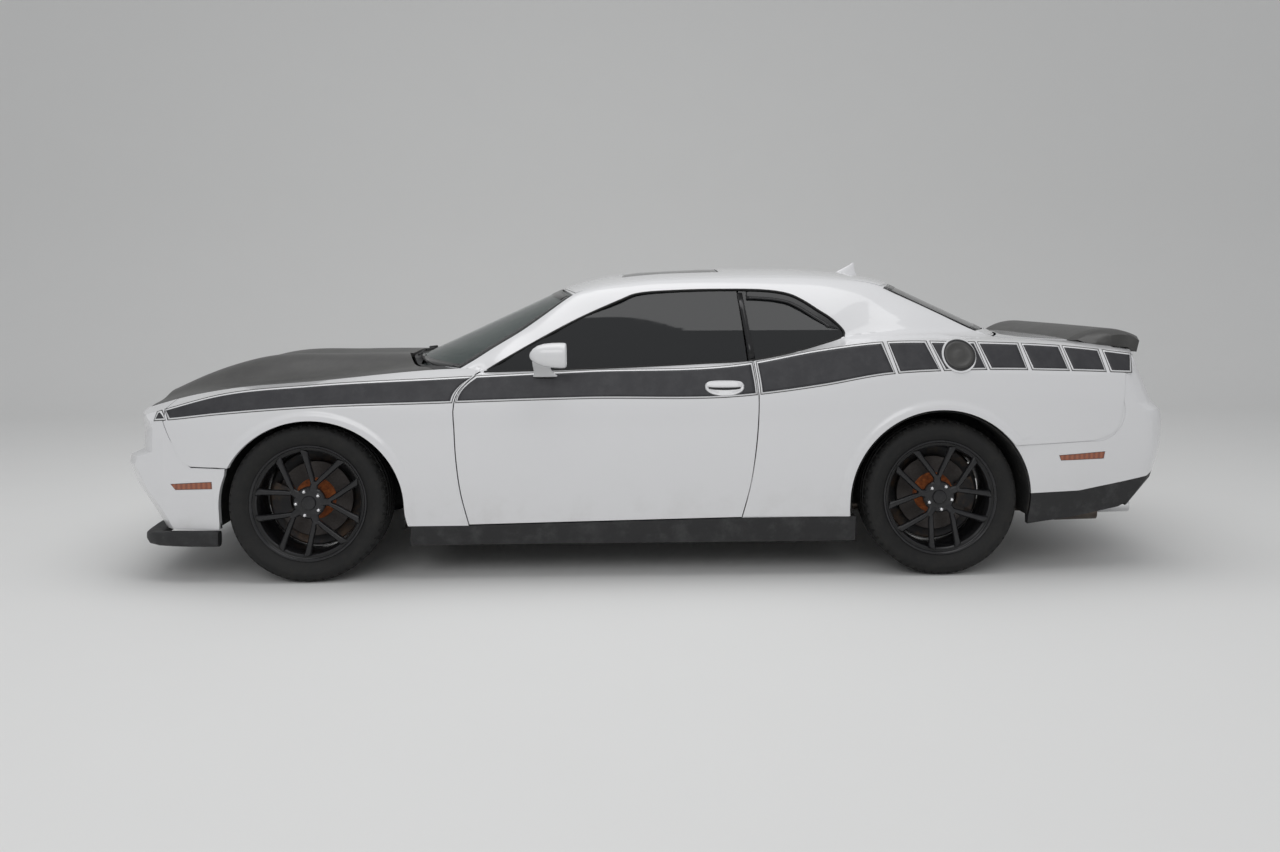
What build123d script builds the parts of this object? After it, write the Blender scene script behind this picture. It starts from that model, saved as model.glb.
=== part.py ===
from math import cos, radians, sin
import os

from build123d import *

# Two-door muscle coupe. +X forward, +Y left, +Z up, origin on the ground at the centre of
# its box. Millimetres.

# Driving dimensions
wheelbase = 2946
front_axle_x = 1581
rear_axle_x = front_axle_x - wheelbase
front_half_track = 805.5
rear_half_track = 810.5
tyre_radius = 364.25
rim_flange_radius = 271
bead_radius = 243
wheel_z = tyre_radius

door_gap = 5
trim_gap = 4
skin = 30
wall = 80
pillar = 45
glass_depth = 4
glass_thickness = 5

front_arch = (1562, 347, 404)
rear_arch = (-1362, 352, 431)
house_radius = 436
tunnel_radius = 150
fuel_centre = (-1449, 926, 1034)
fuel_radius = 78
lid_half = 640
plate_pitch = 178
plate_hole = 3
plate_z = 660
steering_tilt = 25
steering_centre = (430, 370, 880)


# Small helpers -----------------------------------------------------------------------

def path_face(start, *steps):
    """A face bounded by straight steps (one point) and arcs (mid point, end point)."""
    edges = []
    here = Vector(*start)
    for step in steps:
        if isinstance(step[0], tuple):
            end = Vector(*step[1])
            edges.append(ThreePointArc(here, Vector(*step[0]), end))
        else:
            end = Vector(*step)
            edges.append(Line(here, end))
        here = end
    if (here - Vector(*start)).length > 1e-6:
        edges.append(Line(here, Vector(*start)))
    return Face(Wire(edges))


def lift(points, axis, level):
    """Turns flat points and arcs into space, at one level of the missing axis."""
    def place(point):
        if isinstance(point[0], tuple):
            return tuple(place(each) for each in point)
        a, b = point
        return (a, level, b) if axis == "y" else (a, b, level)
    return [place(point) for point in points]


def side_prism(points, y_from, y_to):
    """Extrudes an outline drawn in side view (x, z) across the car."""
    return extrude(path_face(*lift(points, "y", y_from)), amount=y_to - y_from, dir=(0, 1, 0))


def plan_prism(points, z_from, z_to):
    """Extrudes an outline drawn from above (x, y) upwards."""
    return extrude(path_face(*lift(points, "z", z_from)), amount=z_to - z_from, dir=(0, 0, 1))


def block(x, y, z):
    """A box between pairs of limits."""
    size = (x[1] - x[0], y[1] - y[0], z[1] - z[0])
    return Pos((x[0] + x[1]) / 2, (y[0] + y[1]) / 2, (z[0] + z[1]) / 2) * Box(*size)


def across(x, z, radius, y_from, y_to):
    """A cylinder whose axis runs across the car."""
    length = y_to - y_from
    return Pos(x, (y_from + y_to) / 2, z) * Rot(90, 0, 0) * Cylinder(radius, length)


def rod(start, end, radius):
    """A round bar from one point to another."""
    start, end = Vector(*start), Vector(*end)
    run = end - start
    return Plane(origin=start, z_dir=run) * Pos(0, 0, run.length / 2) * Cylinder(radius, run.length)


def other_side(shape):
    return mirror(shape, about=Plane.XZ)


def both(shape):
    """A left piece with its mirror image, as solids that do not touch."""
    return Compound(children=[*shape.solids(), *other_side(shape).solids()])


def solids_of(shape, smallest=2000):
    """Keeps the solids that are larger than trimming crumbs."""
    kept = [solid for solid in shape.solids() if solid.volume > smallest]
    return kept[0] if len(kept) == 1 else Compound(children=kept)


def save(shape, node):
    export_step(solids_of(shape), f"parts/{node}.step")


# Body sections -------------------------------------------------------------------------

# The lower body's cross-sections, one row each.
# x | sill y, z | wide y, z | crease y, z | shoulder y, z | edge y, z | foot y, z | dome y, z | centre z
body_sections = [
    (2560, 760, 165, 800, 540, 770, 735, 748, 748, 640, 762, 430, 768, 350, 772, 774),
    (2420, 800, 165, 838, 540, 815, 738, 802, 752, 660, 786, 450, 812, 355, 836, 846),
    (2250, 840, 165, 876, 540, 868, 746, 842, 800, 692, 834, 465, 868, 365, 906, 918),
    (2000, 870, 165, 916, 545, 908, 773, 868, 866, 735, 881, 470, 906, 375, 968, 979),
    (1564, 890, 165, 948, 560, 942, 806, 882, 911, 758, 920, 475, 946, 380, 993, 1000),
    (1000, 895, 165, 947, 560, 945, 823, 895, 940, 772, 972, 480, 988, 385, 1004, 1008),
    (300, 895, 165, 944, 560, 941, 840, 900, 972, 780, 976, 480, 978, 380, 979, 982),
    (-450, 900, 165, 949, 565, 947, 849, 903, 1001, 780, 1004, 480, 1004, 380, 1005, 1008),
    (-800, 902, 165, 955, 572, 953, 893, 903, 1064, 780, 1070, 480, 1070, 380, 1071, 1074),
    (-1090, 904, 170, 960, 578, 958, 943, 902, 1098, 760, 1106, 480, 1108, 380, 1109, 1112),
    (-1450, 904, 190, 961.5, 584, 960, 963, 896, 1098, 740, 1106, 480, 1112, 380, 1113, 1115),
    (-2000, 885, 262, 946, 605, 944, 956, 880, 1072, 700, 1088, 470, 1094, 370, 1096, 1098),
    (-2330, 850, 320, 912, 625, 904, 942, 845, 1032, 680, 1068, 460, 1082, 360, 1086, 1088),
    (-2560, 805, 380, 872, 645, 860, 936, 800, 1003, 655, 1040, 440, 1056, 350, 1060, 1062),
]


def body_section(row, side_in, top_in, floor_in):
    """One closed cross-section of the lower body, moved inwards by the three depths."""
    x, sill_y, sill_z = row[0], row[1] - side_in, row[2] + floor_in
    pairs = list(zip(row[3:15:2], row[4:15:2]))
    wide, crease, shoulder, edge, foot, dome = pairs
    wide = (wide[0] - side_in, wide[1])
    crease = (crease[0] - side_in, crease[1])
    shoulder = (shoulder[0] - side_in, shoulder[1] - top_in)
    edge = (min(edge[0], shoulder[0] - 12), edge[1] - top_in)
    foot, dome = (foot[0], foot[1] - top_in), (dome[0], dome[1] - top_in)
    centre_z = row[15] - top_in
    left = [(x, y, z) for y, z in ((sill_y, sill_z), wide, crease, shoulder, edge, foot, dome)]
    right = [(x, -y, z) for _, y, z in left]
    face = path_face(
        right[0], left[0], (left[1], left[2]), left[3], left[4], left[5], left[6],
        ((x, 0, centre_z), right[6]), right[5], right[4], right[3], right[2],
        (right[1], right[0]),
    )
    return face


def lower_loft(side_in, top_in, floor_in):
    sections = [body_section(row, side_in, top_in, floor_in) for row in body_sections]
    return loft(sections, ruled=True)


# The nose and tail: level z | front x on the centre line | rear x on the centre line
end_levels = [
    (150, 2290, -2300),
    (314, 2386, -2345),
    (439, 2468, -2452),
    (545, 2511, -2488),
    (578, 2504, -2497),
    (603, 2446, -2503),
    (711, 2438, -2511),
    (763, 2450, -2503),
    (802, 2440, -2459),
    (1200, 2440, -2300),
]
corner_y = 740
beyond_y = 1010


def end_outline(level, inset):
    """The plan shape at one height, bowed across the nose and tail and rounded at corners."""
    z, front, rear = level
    nose, tail = front - inset, rear + inset
    inner = corner_y - inset * 0.6
    outer = 925 - inset
    face = path_face(
        (nose - 52, -inner, z),
        ((nose, 0, z), (nose - 52, inner, z)),
        ((nose - 115, inner + 98, z), (nose - 262, outer, z)),
        (nose - 400, beyond_y, z),
        (tail + 330, beyond_y, z),
        (tail + 175, outer, z),
        ((tail + 62, inner + 108, z), (tail + 20, inner + 20, z)),
        ((tail, 0, z), (tail + 20, -inner - 20, z)),
        ((tail + 62, -inner - 108, z), (tail + 175, -outer, z)),
        (tail + 330, -beyond_y, z),
        (nose - 400, -beyond_y, z),
        (nose - 262, -outer, z),
        ((nose - 115, -inner - 98, z), (nose - 52, -inner, z)),
    )
    return face


def end_shape(inset):
    return loft([end_outline(level, inset) for level in end_levels], ruled=True)


def lower_body(side_in=0, top_in=0, floor_in=0, end_in=0):
    return lower_loft(side_in, top_in, floor_in) & end_shape(end_in)


# The cabin: level z | pillar x, y | glass front x, y | widest y | rear side x, y | rear glass y
cabin_levels = [
    (900, 972, 815, 872, 864, 902, -1520, 872, 688),
    (1020, 800, 758, 690, 812, 842, -1360, 828, 652),
    (1150, 596, 690, 470, 738, 779, -1160, 764, 617),
    (1343, 338, 590, 150, 632, 658, -900, 642, 560),
    (1400, 262, 552, 80, 584, 600, -830, 582, 540),
    (1480, 160, 470, 20, 484, 492, -750, 480, 470),
]
windshield_base = (1270, 977)
windshield_top = (462, 1350)
backlight_top = (-1290, 1385)
backlight_base = (-1827, 1132)
backlight_sweep = 165


def on_line(first, second, z):
    share = (z - first[1]) / (second[1] - first[1])
    return first[0] + share * (second[0] - first[0])


def cabin_outline(level, inset):
    """The cabin's plan at one height: bowed screens, pillars and slightly bowed sides."""
    z, pillar_x, pillar_y, glass_x, glass_y, wide_y, rear_x, rear_y, backlight_y = level
    run = 2.35 * inset
    lean = 1.15 * inset
    screen_x = on_line(windshield_base, windshield_top, z) - run
    back_x = on_line(backlight_top, backlight_base, z) + run
    corner_x = back_x + backlight_sweep * (1.45 - z / 3300)
    left = [
        (pillar_x - 1.6 * inset, pillar_y - lean, z),
        (glass_x, glass_y - lean, z),
        (-450, wide_y - lean, z),
        (rear_x, rear_y - lean, z),
        (corner_x, backlight_y - lean, z),
    ]
    right = [(x, -y, height) for x, y, height in left]
    return path_face(
        right[0], ((screen_x, 0, z), left[0]), left[1], (left[2], left[3]), left[4],
        ((back_x, 0, z), right[4]), right[3], (right[2], right[1]), right[0],
    )


# The roof's crown along the centre line: x | z
crown_line = [(1500, 960), (462, 1352), (250, 1412), (40, 1440), (-275, 1455), (-500, 1458),
              (-850, 1452), (-1100, 1428), (-1290, 1390), (-2400, 960)]
crown_half = 620
crown_drop = 60


def crown(inset):
    """Everything below the roof's crowned surface."""
    faces = []
    for x, z in crown_line:
        top, edge = z - inset, z - crown_drop - inset
        faces.append(path_face(
            (x, -crown_half, 700), (x, crown_half, 700), (x, crown_half + 300, 700),
            (x, crown_half + 300, edge - 60), (x, crown_half, edge),
            ((x, 0, top), (x, -crown_half, edge)),
            (x, -crown_half - 300, edge - 60), (x, -crown_half - 300, 700),
        ))
    return loft(faces, ruled=True)


def cabin(inset=0):
    return loft([cabin_outline(level, inset) for level in cabin_levels], ruled=True) & crown(inset)


# Outlines of panels, in side view (x, z) or from above (x, y) ---------------------------

door_outline = [
    (798, 1010), (798, 960), ((872, 896), (903, 824)), ((893, 560), (839, 262)), (-425, 285),
    ((-487, 590), (-503, 850)), (-484, 1014),
]
front_split = [(2256, 745), ((2200, 632), (2118, 533)), (1940, 529)]
rear_split = [(-2252, 940), (-2238, 813), ((-2205, 672), (-2080, 627)), (-1700, 610)]
side_glass = [
    (786, 958), (334, 1211), (141, 1296), ((90, 1324), (30, 1333)), ((-300, 1346), (-560, 1343)),
    ((-690, 1326), (-741, 1298)), (-885, 1200), ((-940, 1140), (-925, 1112)), ((-700, 1048), (-480, 1008)),
    (235, 974),
]


def hood_outline(grow):
    """The hood from above, grown sideways by its gap."""
    front = 2420 if grow == 0 else 2560
    left = [(front, 640), (2330, 675), (2150, 706), (1855, 745), (1471, 762), (1034, 772)]
    left = [(x, y + grow) for x, y in left]
    right = [(x, -y) for x, y in reversed(left)]
    rear_corner = (1022 - grow * 3, 775 + grow)
    rear = (1268 - grow * 4, 0)
    return [(front, -left[0][1]), *([((front + 45, 0), left[0])] if grow == 0 else [left[0]]),
            *left[1:-1], rear_corner, (rear, (rear_corner[0], -rear_corner[1])), *right[1:]]


def lid_outline(grow):
    """The boot lid's deck from above."""
    half = lid_half + grow
    front = -1690 + grow
    return [(front, -half), ((front - 170, 0), (front, half)), (-2600, half), (-2600, -half)]


def windshield_outline(grow):
    return [(897 + grow, -752 - grow), ((1252 + grow, 0), (897 + grow, 752 + grow)),
            (372 - grow, 578 + grow), ((452 - grow, 0), (372 - grow, -578 - grow))]


def backlight_outline(grow):
    return [(-1182 + grow, -545 - grow), ((-1302 + grow, 0), (-1182 + grow, 545 + grow)),
            (-1622 - grow, 612 + grow), ((-1800 - grow, 0), (-1622 - grow, -612 - grow))]


def arch_cut(arch, grow=0):
    x, z, radius = arch
    return across(x, z, radius + grow, 560, 1100) + block(
        (x - radius - grow + 8, x + radius + grow - 8), (560, 1100), (z - 400, z - 60))


# Shared solids ---------------------------------------------------------------------------

def make_shells():
    outer = lower_body()
    cabin_outer = cabin()
    thin = outer - lower_body(skin, skin, skin, skin + 10)
    whole = (outer + cabin_outer) - (lower_body(wall, skin, wall, wall) + cabin(pillar))
    return outer, cabin_outer, thin, whole


# Panels ------------------------------------------------------------------------------------

big = 1100
front_marker_outline = [(2214, 455), (2018, 468), (2016, 438), (2190, 431)]
rear_marker_outline = [(-1920, 562), (-2144, 576), (-2138, 545), (-1930, 540)]


def grown(outline, gap):
    """An outline with straight sides, moved outwards from its middle by about the gap."""
    middle = (sum(x for x, _ in outline) / len(outline), sum(z for _, z in outline) / len(outline))
    return [(x + (gap if x > middle[0] else -gap), z + (gap if z > middle[1] else -gap))
            for x, z in outline]


def door_prism(grow):
    """The door's outline, with its gap as an even growth of the face."""
    face = path_face(*lift(door_outline, "y", 300))
    if grow:
        face = Face(face.outer_wire().offset_2d(grow, kind=Kind.INTERSECTION))
    return extrude(face, amount=800, dir=(0, 1, 0))


def make_doors(whole, glass_cut):
    panel = whole & door_prism(0)
    panel = solids_of(panel, 100000)
    handle = Pos(-346, 942, 891) * Box(176, 40, 40)
    handle = fillet(handle.edges().filter_by(Axis.Y), 18)
    return panel - glass_cut + handle


def wheel_house(x, z, radius, y_from, inner_solid):
    """The tub over one wheel, 12 mm thick, open below and outwards."""
    outer = across(x, z, radius + 12, y_from, 1000)
    inner = across(x, z, radius, y_from + 10, 1000)
    shell = outer - inner - block((x - 600, x + 600), (0, 1100), (-200, z - 70))
    shell = shell - block((x - 300, x + 300), (0, y_from + 12), (0, 478))
    return shell & inner_solid


def make_underbody(inner80):
    """Floor, tunnel, rear bulkhead, parcel shelf, boot floor and rear wheel houses."""
    floor = side_prism([(1075, 178), (1075, 208), (-880, 208), (-900, 178)], -700, 700)
    floor = floor + side_prism([(-900, 178), (-880, 208), (-975, 504), (-2290, 504), (-2290, 478),
                                (-1000, 478)], -594, 594)
    tunnel = block((-880, 1075), (-tunnel_radius, tunnel_radius), (150, 208)) + Pos(97, 0, 200) * Rot(
        0, 90, 0) * Cylinder(tunnel_radius, 1950)
    tunnel_hollow = Pos(97, 0, 200) * Rot(0, 90, 0) * Cylinder(tunnel_radius - 20, 2160) + block(
        (-900, 1090), (20 - tunnel_radius, tunnel_radius - 20), (0, 200))
    floor = floor + (tunnel - block((-3000, 3000), (-300, 300), (0, 178))) - tunnel_hollow
    bulkhead = side_prism([(-1207, 500), (-1390, 1052), (-1416, 1052), (-1233, 500)], -560, 560)
    shelf = block((-1700, -1380), (-560, 560), (1034, 1052))
    house = wheel_house(rear_arch[0], rear_arch[1], rear_arch[2] + 12, 590, inner80)
    return floor + bulkhead + shelf + house + other_side(house)


def make_front_structure(inner30):
    """Firewall, front wheel houses, rails, radiator support and bumper beam."""
    firewall = side_prism([(1075, 208), (1120, 600), (1120, 905), (1095, 905), (1095, 600),
                           (1052, 208)], -455, 455)
    firewall = firewall - Pos(1072, 0, 200) * Rot(0, 90, 0) * Cylinder(tunnel_radius + 1, 200)
    support = block((2240, 2290), (-640, 640), (300, 720)) - block(
        (2200, 2300), (-380, 380), (350, 660))
    bumper_beam = block((2290, 2372), (-600, 600), (455, 545))
    rail = block((1100, 2290), (405, 450), (380, 470))
    house = wheel_house(front_axle_x, front_arch[1], house_radius, 462, inner30)
    # A tie that carries the wheel house on its rail, and the radiator support's outer ear
    left = rail + house + block((1200, 1900), (440, 466), (420, 500))
    left = left + block((2255, 2285), (600, 700), (560, 700))
    return firewall + support + bumper_beam + left + other_side(left)


def trim_to_half(shape):
    return shape & block((-3000, 3000), (0.01, 1100), (-100, 1700))


# Wheels --------------------------------------------------------------------------------------

def spun(points, side):
    """Revolves a half profile (radius, offset outwards) about the wheel's own axis."""
    face = path_face(*[(radius, offset * side, 0) for radius, offset in points])
    return revolve(face, axis=Axis.Y)


tyre_profile = [
    (bead_radius, -90), (rim_flange_radius + 1, -90), (326, -122.5), (tyre_radius, -104),
    (tyre_radius, 104), (326, 122.5), (rim_flange_radius + 1, 90), (bead_radius, 90),
]
rim_profile = [
    (rim_flange_radius, 99), (rim_flange_radius, 90.5), (bead_radius, 90.5), (bead_radius, -90.5),
    (rim_flange_radius, -90.5), (rim_flange_radius, -99), (232, -99), (231, 91), (262, 99),
]
fork_radius = 128
prong_angle = 15
prong_tip = 240
spoke_layer = (58, 95)
hub_radius = 74
spoke_count = 5
wheel_rest = {"front": 0, "rear": 24}  # degrees each axle's rims stand turned


def polar(radius, angle, sideways=0):
    """A point of the wheel's face, stepped sideways from its spoke's centre line."""
    turn = radians(angle)
    return (radius * cos(turn) - sideways * sin(turn), radius * sin(turn) + sideways * cos(turn))


def spoke_face(turn):
    """One Y spoke in the wheel's face: a stem that forks into two prongs."""
    left, right = turn + prong_angle, turn - prong_angle
    shape = [
        polar(50, turn, 26), polar(fork_radius, turn, 17), polar(prong_tip, left, 11),
        polar(prong_tip, left, -11), polar(fork_radius + 28, turn), polar(prong_tip, right, 11),
        polar(prong_tip, right, -11), polar(fork_radius, turn, -17), polar(50, turn, -26),
    ]
    return path_face(*[(x, spoke_layer[0], z) for x, z in shape])


def make_rim(side):
    """Barrel, forked spokes, hub and lug seats, with the face on the outer side."""
    pitch = 360 / spoke_count
    rim = spun(rim_profile, 1)
    for count in range(spoke_count):
        face = spoke_face(pitch * count)
        rim = rim + extrude(face, amount=spoke_layer[1] - spoke_layer[0], dir=(0, 1, 0))
    rim = rim + across(0, 0, hub_radius, -30, 86) + across(0, 0, 31, 80, 91)
    for count in range(spoke_count):
        x, z = polar(57, pitch * (count + 0.5))
        rim = rim + across(x, z, 10, 80, 93)
    return rim if side > 0 else other_side(rim)


def make_tyre():
    return spun(tyre_profile, 1)


def make_disc(side):
    disc = across(0, 0, 178, -62, -34) - across(0, 0, 92, -70, -30)
    disc = disc + (across(0, 0, 98, -44, -30) - across(0, 0, 40, -50, -20))
    return disc if side > 0 else other_side(disc)


def make_caliper(behind):
    """A brake caliper astride the disc, ahead of or behind the axle."""
    ring = across(0, 0, 196, -84, -12) - across(0, 0, 112, -90, 0)
    slot = across(0, 0, 184, -67, -29)
    wedge = side_prism([(0, 0), (260, 118), (260, -118)], -200, 200)
    shape = (ring - slot) & wedge
    return shape.rotate(Axis.Y, 180) if behind else shape


def make_knuckle(side):
    """Hub carrier, upright with its ball joints, steering arm and caliper."""
    carrier = across(0, 0, 62, -150, -90) + across(0, 0, 36, -92, -50)
    upright = side_prism([(-38, 150), (30, 150), (48, 0), (34, -128), (-34, -128), (-48, 0)],
                         -128, -96)
    bridge = block((100, 150), (-130, -84), (-40, 40)) + block((30, 112), (-128, -96), (-30, 30))
    arm = block((-150, -30), (-126, -98), (-70, -44))
    caliper = make_caliper(False)
    whole = carrier + upright + bridge + arm + caliper
    return whole if side > 0 else other_side(whole)


# Chassis ----------------------------------------------------------------------------------------

def make_front_subframe():
    """Cross member, lower arms and steering rack, placed from the front axle."""
    x = front_axle_x
    cross = block((x - 124, x - 4), (-400, 400), (190, 262))
    rack = rod((x - 112, -420, 300), (x - 112, 420, 300), 26)
    carrier_left = block((x - 134, x - 89), (240, 300), (255, 300))
    frame = cross + rack + carrier_left + other_side(carrier_left)
    for side in (1, -1):
        arm = plan_prism([(x - 134, side * 380), (x + 26, side * 380), (x + 36, side * 640),
                          (x + 18, side * 668), (x - 18, side * 668), (x - 34, side * 640)], 196, 222)
        frame = frame + arm
    return frame


def make_rear_suspension():
    x, z = rear_axle_x, wheel_z
    cross = block((x - 170, x - 90), (-460, 460), (270, 340)) + block(
        (x + 120, x + 190), (-460, 460), (270, 340))
    case = across(x, z, 96, -110, 110)
    shafts = across(x, z, 19, -rear_half_track + 128, rear_half_track - 128)
    ties = block((x - 120, x + 150), (-60, 60), (280, 330))
    parts = cross + case + shafts + ties
    for side in (1, -1):
        y = side * (rear_half_track - 128)
        hub = Pos(x, y, z) * Rot(90, 0, 0) * Cylinder(60, 40)
        arm_rear = rod((x - 130, side * 440, 300), (x - 30, y, 330), 17)
        arm_front = rod((x + 155, side * 440, 300), (x + 30, y, 330), 17)
        damper = rod((x - 95, side * 545, 325), (x - 95, side * 545, 478), 40)
        caliper = make_caliper(True) if side > 0 else other_side(make_caliper(True))
        caliper = Pos(x, side * rear_half_track, z) * caliper
        stay = block((x - 135, x - 30), tuple(sorted((side * (rear_half_track - 118),
                                                      side * (rear_half_track - 84)))), (z - 25, z + 25))
        parts = parts + hub + arm_rear + arm_front + caliper + stay
    return parts


def make_exhaust():
    """Two pipes along the tunnel and over the axle's arms to a silencer and tail pipe each."""
    route = [(1000, 95, 165), (-900, 95, 165), (-1180, 240, 210), (-1980, 480, 236), (-2390, 560, 262)]
    bends = FilletPolyline(*route, radius=120)
    pipe = sweep(Plane(origin=route[0], z_dir=(-1, 0, 0)) * Circle(28), path=bends)
    start, end = Vector(*route[3]), Vector(*route[4])

    def along(share):
        return tuple(start + (end - start) * share)

    silencer = rod(along(0.2), along(0.68), 75)
    tail = rod(along(0.76), along(1), 40)
    return both(pipe + silencer + tail)


def make_front_seats():
    """Bucket seat, as one closed form with its head rest."""
    profile = [(310, 330), (330, 440), ((300, 492), (220, 486)), (-150, 452), (-330, 1050),
               (-345, 1190), ((-395, 1225), (-425, 1180)), (-440, 1000), (-300, 360), (-240, 300)]
    body = side_prism(profile, 150, 640)
    waist = block((-500, -250), (140, 300), (1045, 1300)) + block((-500, -250), (490, 660), (1045, 1300))
    body = body - waist
    rails = block((-200, 260), (180, 210), (208, 340)) + block((-200, 260), (580, 610), (208, 340))
    return both(body + rails)


def make_rear_seat():
    profile = [(-600, 250), (-560, 430), ((-552, 560), (-610, 590)), (-900, 560), (-1070, 575),
               (-1240, 1010), ((-1290, 1030), (-1340, 1010)), (-1186, 508), (-966, 508), (-880, 250)]
    tunnel = block((-1000, -500), (-152, 152), (200, 352))
    return side_prism(profile, -556, 556) - tunnel


def make_dashboard():
    """Dashboard with its cluster hood, steering column and centre console."""
    board = side_prism([(930, 640), (930, 905), ((800, 962), (640, 956)), ((560, 930), (556, 850)),
                        (620, 760), (640, 640)], -690, 690)
    hood = side_prism([(640, 940), ((590, 1000), (530, 975)), (520, 880), (560, 850), (640, 860)],
                      220, 520)
    console = side_prism([(640, 820), (560, 640), (430, 470), (-330, 440), (-380, 352), (640, 352)],
                         -120, 120)
    column = rod((640, steering_centre[1], 782), (456.3, steering_centre[1], 867.7), 28)
    return board + hood + console + column


def make_steering_wheel():
    """Rim, three spokes and boss on the tilted column."""
    turn = steering_tilt
    ring = revolve(Plane.XZ * Pos(172, 0) * RegularPolygon(15, 10), axis=Axis.Z)
    boss = Pos(0, 0, -6) * Cylinder(52, 34)
    lower = Pos(-82, 0, 0) * Box(160, 34, 14)
    cross = Box(34, 320, 14)
    wheel = ring + boss + lower + cross
    return Pos(*steering_centre) * Rot(0, -90 + turn, 0) * wheel


def make_lamps():
    """Round headlamps, two each side, with their bezels."""
    lamps = None
    for y, x in ((455, 2395), (625, 2372)):
        bezel = Pos(x, y, 688) * Rot(0, 90, 0) * Cylinder(66, 60)
        lens = Pos(x + 22, y, 688) * Rot(0, 90, 0) * Cone(62, 44, 34)
        lamp = bezel + lens
        lamps = lamp if lamps is None else lamps + lamp
    return both(lamps)


def bow(y, depth=52):
    """How far the bowed nose falls back at a distance y from the centre line."""
    return depth * (y / corner_y) ** 2


def make_grille():
    """Two mesh grilles with bars, following the bow of the nose."""
    def bar(x, half, z, height, thick):
        points = [(x - bow(half), -half), ((x, 0), (x - bow(half), half)),
                  (x - thick - bow(half), half), ((x - thick, 0), (x - thick - bow(half), -half))]
        return plan_prism(points, z, z + height)
    upper = bar(2352, 712, 621, 140, 14)
    for z in (640, 666, 692, 718, 744):
        upper = upper + (bar(2372, 360, z - 4, 8, 24))
    for y in range(-330, 331, 60):
        upper = upper + block((2344 - bow(y), 2368 - bow(y)), (y - 4, y + 4), (620, 762))
    lower = bar(2330, 511, 284, 152, 14)
    for z in (305, 335, 365, 395, 425):
        lower = lower + bar(2350, 508, z - 4, 8, 24)
    for y in range(-480, 481, 80):
        lower = lower + block((2322 - bow(y), 2346 - bow(y)), (y - 4, y + 4), (285, 435))
    return upper, lower


def make_splitter():
    """The chin spoiler's bowed blade with upturned ends."""
    blade = plan_prism([
        (2452 - 60, -700), ((2452, 0), (2392, 700)), ((2330, 850), (2130, 905)), (1985, 912),
        (1985, 860), (2110, 850), ((2265, 800), (2310, 680)), ((2368, 0), (2310, -680)),
        ((2265, -800), (2110, -850)), (1985, -860), (1985, -912), (2130, -905), ((2330, -850), (2392, -700)),
    ], 166, 240)
    return blade & side_prism([(2460, 196), (2380, 210), (2240, 240), (1900, 240), (1900, 166),
                               (2300, 166), (2460, 180)], -1000, 1000)


# The spoiler's half: y | front x, z | top x, z | rear top x, z | rear bottom x, z | belly x, z
spoiler_sections = [
    (0, -2070, 1092, -2262, 1150, -2406, 1121, -2394, 1101, -2250, 1104),
    (640, -2070, 1082, -2262, 1148, -2406, 1117, -2394, 1090, -2250, 1094),
    (700, -2110, 1092, -2268, 1144, -2404, 1110, -2388, 1046, -2250, 1056),
    (755, -2170, 1068, -2280, 1120, -2392, 1090, -2378, 1036, -2260, 1046),
]
spoiler_lift = 6


def make_spoiler(body):
    """Rear deck spoiler: an upswept blade whose ends come down over the quarters."""
    faces = []
    for y, *flat in spoiler_sections:
        front, top, rear_top, rear_bottom, belly = zip(flat[0::2], flat[1::2])
        faces.append(path_face(*lift([front, (top, rear_top), rear_bottom, belly], "y", y)))
    half = loft(faces, ruled=True)
    half = half - Pos(0, 0, 0.4) * body
    half = half - (Pos(0, 0, spoiler_lift) * body & block((-2600, -2000), (lid_half, big), (900, 1300)))
    return half + other_side(half)


def make_mirror():
    """Door mirror: a swelling housing on a foot that stands on the door."""
    # y | centre x, z | width, height, corner radius
    sections = [(985, 455, 1048, 96, 78, 30), (1012, 460, 1050, 156, 116, 44),
                (1065, 462, 1051, 160, 118, 46), (1092, 468, 1048, 96, 74, 30)]
    faces = []
    for y, x, z, width, height, corner in sections:
        plane = Plane(origin=(x, y, z), x_dir=(1, 0, 0), z_dir=(0, 1, 0))
        faces.append(plane * RectangleRounded(width, height, corner))
    shell = loft(faces, ruled=True)
    foot = side_prism([(560, 930), (530, 985), (500, 1030), (450, 1030), (470, 930)], 862, 1000)
    return shell + foot


def fuel_plane():
    """The leaning surface above the crease where the filler sits."""
    return Plane(origin=fuel_centre, x_dir=(1, 0, 0), z_dir=(0, cos(radians(25)), sin(radians(25))))


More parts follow.
